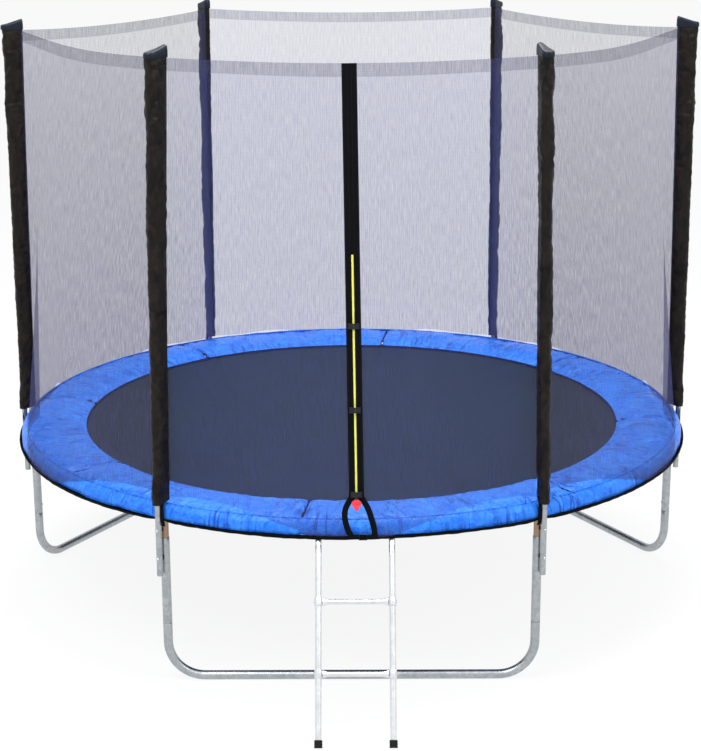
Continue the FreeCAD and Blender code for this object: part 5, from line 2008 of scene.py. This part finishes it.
@dataclass
class Ladder:
    """Two side tubes, two steps with flared ends, black feet and bolts."""

    palette: Palette
    middle: float = 0.0165
    spacing: float = 0.287
    tube: float = 0.025
    wall: float = 0.0012
    bend: Vector = field(default_factory=lambda: Vector((0.0165, -1.520554, 0.711)))
    foot: Vector = field(default_factory=lambda: Vector((0.0165, -1.910, 0.0)))
    tube_start: float = 0.034
    hook_bolt: float = 0.0645
    rungs: tuple[float, float] = (0.487, 0.244)
    boot: float = 0.026

    @property
    def down(self) -> Vector:
        """Direction from the hooks' bend to the feet."""
        return (self.foot - self.bend).normalized()

    @property
    def out(self) -> Vector:
        """Direction square to the ladder, to the front."""
        return Vector((0, self.down.z, -self.down.y))

    def at(self, height: float, x: float) -> Vector:
        """Point of the ladder's slope at a height."""
        reach = (self.bend.z - height) / -self.down.z
        point = self.bend + self.down * reach
        return Vector((x, point.y, point.z))

    def sides(self) -> tuple[float, float]:
        """X of the two side tubes."""
        return self.middle - self.spacing / 2, self.middle + self.spacing / 2

    def rails(self) -> None:
        """Side tubes."""
        for name, x in zip(("left", "right"), self.sides()):
            start = self.bend + self.down * self.tube_start
            start.x = x
            end = self.at(0.009, x)
            path = np.array([start.lerp(end, share) for share in np.linspace(0, 1, 16)])
            form = Form()
            form.tube(path, self.tube / 2, self.wall, sides=26, rim=1)
            turns = circle(26)
            neck = []
            for share in np.linspace(0, 1, 9):
                middle = self.bend + self.down * (0.008 + (self.tube_start - 0.006) * share)
                deep = 0.0050 + 0.0076 * float(smooth_step(np.array(share), 0.0, 0.9))
                neck.append([(x + self.tube / 2 * math.cos(turn),
                              *(middle + self.out * (deep * math.sin(turn)))[1:])
                             for turn in turns])
            form.grid(np.array(neck), wrap_v=True)
            form.lid(np.array(neck[0]))
            piece = form.make(f"ladder_side_{name}",
                              [self.palette.ladder_tube, self.palette.cut_edge])
            place(piece, Body.LADDER, f"ladder_rail_{name}", slot="galvanised_tube")

    def steps(self) -> None:
        """Steps: a round tube flattened and flared to a saddle at each end, with collars."""
        form = Form()
        left, right = self.sides()
        for height in self.rungs:
            near, far = self.at(height, left + 0.0165), self.at(height, right - 0.0165)
            rings = []
            for share in np.linspace(0, 1, 41):
                edge = min(share, 1 - share) * (far.x - near.x)
                flare = float(smooth_step(np.array(-edge), -0.022, -0.002))
                tall = 0.0100 + 0.0050 * flare
                deep = 0.0110 - 0.0035 * flare
                middle = near.lerp(far, share)
                rings.append([tuple(middle + self.down * (tall * math.sin(turn))
                                    + self.out * (deep * math.cos(turn)))
                              for turn in circle(24)])
            form.capped(np.array(rings))
            for x in (left, right):
                self.collar(form, height, x)
        piece = form.make("ladder_steps", [self.palette.ladder_tube], Edge.ROUNDED)
        place(piece, Body.LADDER, "ladder_rungs", slot="galvanised_tube")

    def collar(self, form: Form, height: float, x: float) -> None:
        """Pressed collar round a side tube."""
        middle = self.at(height, x)
        side = Vector((1, 0, 0))
        shape = ((-0.017, 0.0131), (-0.0165, 0.0150), (-0.014, 0.0156), (0.014, 0.0156),
                 (0.0165, 0.0150), (0.017, 0.0131))
        rings = [[tuple(middle + self.down * along + side * (reach * math.cos(turn))
                        + self.out * (reach * math.sin(turn)))
                  for turn in circle(28)] for along, reach in shape]
        form.grid(np.array(rings), wrap_u=True, wrap_v=True)

    def feet(self) -> None:
        """Ribbed black feet, cut level on the ground."""
        form = Form()
        for x in self.sides():
            rings = []
            for share, reach in ((0.0, 0.0130), (0.0, 0.0148), (0.04, 0.0157), (0.30, 0.0158),
                                 (0.33, 0.0150), (0.39, 0.0150), (0.42, 0.0158), (0.62, 0.0158),
                                 (0.65, 0.0150), (0.71, 0.0150), (0.74, 0.0158), (0.97, 0.0158),
                                 (1.0, 0.0150), (1.0, 0.004)):
                middle = self.at(self.boot * (1 - share), x)
                ring = [middle + Vector((1, 0, 0)) * (reach * math.cos(turn))
                        + self.out * (reach * math.sin(turn))
                        for turn in circle(28)]
                rings.append([(point.x, point.y, max(point.z, 0.0)) for point in ring])
            form.capped(np.array(rings))
        piece = form.make("ladder_boots", [self.palette.rubber], Edge.CRISP)
        place(piece, Body.LADDER, "ladder_feet", slot="black_rubber")

    def bolts(self) -> None:
        """Bolt heads on collars and hooks, set by Geometry Nodes."""
        spots = []
        for x in self.sides():
            sign = math.copysign(1, x - self.middle)
            side = Vector((sign, 0, 0))
            spots += [(self.at(height, x) + side * 0.0152, side) for height in self.rungs]
            at_hook = self.bend + self.down * self.hook_bolt
            spots.append((Vector((x, at_hook.y, at_hook.z)) + self.out * 0.0122, self.out))
        piece = scattered("ladder_bolt_heads", domed_head(0.0095, 0.0036, recess=True), spots,
                          self.palette.plated)
        place(piece, Body.LADDER, "ladder_bolts", slot="plated_steel")

    def build(self) -> None:
        """All of the ladder."""
        self.rails()
        self.steps()
        self.feet()
        self.bolts()


# --------------------------------------------------------------------- stage


@dataclass
class Studio:
    """Pale floor, soft lamps and the camera."""

    lens: float = 84.4
    place: tuple[float, float, float] = (0.019, -7.97, 3.19)
    pitch: float = 15.81
    yaw: float = -0.16
    roll: float = -0.26

    def camera(self) -> None:
        """Camera at a standing adult's eye, a few steps back."""
        data = bpy.data.cameras.new("camera")
        data.lens = self.lens
        data.sensor_width = 36
        data.clip_end = 200
        camera = bpy.data.objects.new("camera", data)
        pitch, yaw, roll = (math.radians(v) for v in (self.pitch, self.yaw, self.roll))
        ahead = Vector((math.sin(yaw) * math.cos(pitch), math.cos(yaw) * math.cos(pitch),
                        -math.sin(pitch)))
        right = ahead.cross(Vector((0, 0, 1))).normalized()
        above = right.cross(ahead)
        side = right * math.cos(roll) + above * math.sin(roll)
        above = side.cross(ahead)
        camera.matrix_world = Matrix((
            (side.x, above.x, -ahead.x, self.place[0]),
            (side.y, above.y, -ahead.y, self.place[1]),
            (side.z, above.z, -ahead.z, self.place[2]), (0, 0, 0, 1)))
        bpy.context.scene.collection.objects.link(camera)
        bpy.context.scene.camera = camera

    def lamp(self, name: str, spot: tuple[float, float, float], size: float, power: float
             ) -> None:
        """One soft square lamp that faces the trampoline."""
        data = bpy.data.lights.new(name, "AREA")
        data.size = size
        data.energy = power
        lamp = bpy.data.objects.new(name, data)
        lamp.location = spot
        aim = Vector((0, 0, 0.9)) - Vector(spot)
        lamp.rotation_euler = aim.to_track_quat("-Z", "Y").to_euler()
        bpy.context.scene.collection.objects.link(lamp)

    def seen_white(self, graph: Graph) -> bpy.types.NodeSocket:
        """One for rays from the camera, a gloss or a clear surface."""
        rays = graph.node("LightPath").outputs
        first = graph.math("MAXIMUM", rays["Is Camera Ray"], rays["Is Glossy Ray"])
        return graph.math("MAXIMUM", first, rays["Is Transmission Ray"])

    def world(self) -> None:
        """Even pale surroundings, pure white where they are seen."""
        world = bpy.data.worlds.new("studio")
        world.use_nodes = True
        graph = Graph(world.node_tree)
        soft, white = (graph.node("Background", {"Color": linear(code), "Strength": power})
                       for code, power in (("F4F7FF", 0.55), ("FFFFFF", 1.0)))
        mixed = graph.node("MixShader", {0: self.seen_white(graph), 1: soft.outputs[0],
                                         2: white.outputs[0]})
        graph.node("OutputWorld", {"Surface": mixed.outputs[0]})
        bpy.context.scene.world = world

    def floor(self) -> None:
        """Pale floor that keeps a faint shadow."""
        turns = circle(64)
        rings = np.stack([np.stack((size * np.cos(turns), size * np.sin(turns),
                                    np.full(64, -0.0005)), 1)
                          for size in (60.0, 12.0, 0.5)])
        form = Form()
        form.grid(rings, wrap_v=True)
        form.lid(rings[-1])
        material = bpy.data.materials.new("pale_floor")
        material.use_nodes = True
        graph = Graph(material.node_tree)
        matt = graph.node("BsdfDiffuse", {"Color": linear("F2F2F2")})
        glow = graph.node("Emission", {"Color": linear("FFFFFF"), "Strength": 1.0})
        share = graph.math("MULTIPLY", self.seen_white(graph), 0.9)
        mixed = graph.node("MixShader", {0: share, 1: matt.outputs[0], 2: glow.outputs[0]})
        graph.node("OutputMaterial", {"Surface": mixed.outputs[0]})
        piece = form.make("floor", [material], closed=False)

    def build(self) -> None:
        """The whole stage."""
        bpy.context.scene.view_settings.view_transform = "Standard"
        self.camera()
        self.world()
        self.floor()
        self.lamp("key_lamp", (-2.6, -4.2, 7.2), 4.5, 440)
        self.lamp("fill_lamp", (4.6, -4.0, 5.6), 4.0, 180)
        self.lamp("top_lamp", (0.5, 1.0, 7.5), 5.0, 560)


# ---------------------------------------------------------------------- main


def dress(frame: dict, palette: Palette) -> None:
    """Give the CAD nodes that stay their finishes."""
    finishes = {"zip_slider": palette.dark_metal, "clip_sockets": palette.plastic,
                "clip_hook_1": palette.plastic, "clip_hook_2": palette.plastic,
                "clip_hook_3": palette.plastic, "ladder_hooks": palette.plated}
    for name, finish in finishes.items():
        for place_of in frame["nodes"][name].material_slots:
            place_of.material = finish


def corners(box: tuple[Vector, Vector]) -> list[list[float]]:
    """A box as plain lists."""
    return [list(corner) for corner in box]


def main() -> None:
    """Build the trampoline and its stage."""
    logging.basicConfig(level=logging.INFO, format="%(name)s: %(message)s")
    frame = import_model()
    Studio().build()
    palette = Palette.build()
    door = DoorLine()
    for part in (SteelRing(palette), LegSet(palette), PoleSet(palette), SprungMat(palette),
                 RimPad(palette), NetWall(palette, door), ZipDoor(palette, door),
                 Ladder(palette)):
        part.build()
        log.info("%s done", type(part).__name__)
    dress(frame, palette)


if __name__ == "__main__":
    main()
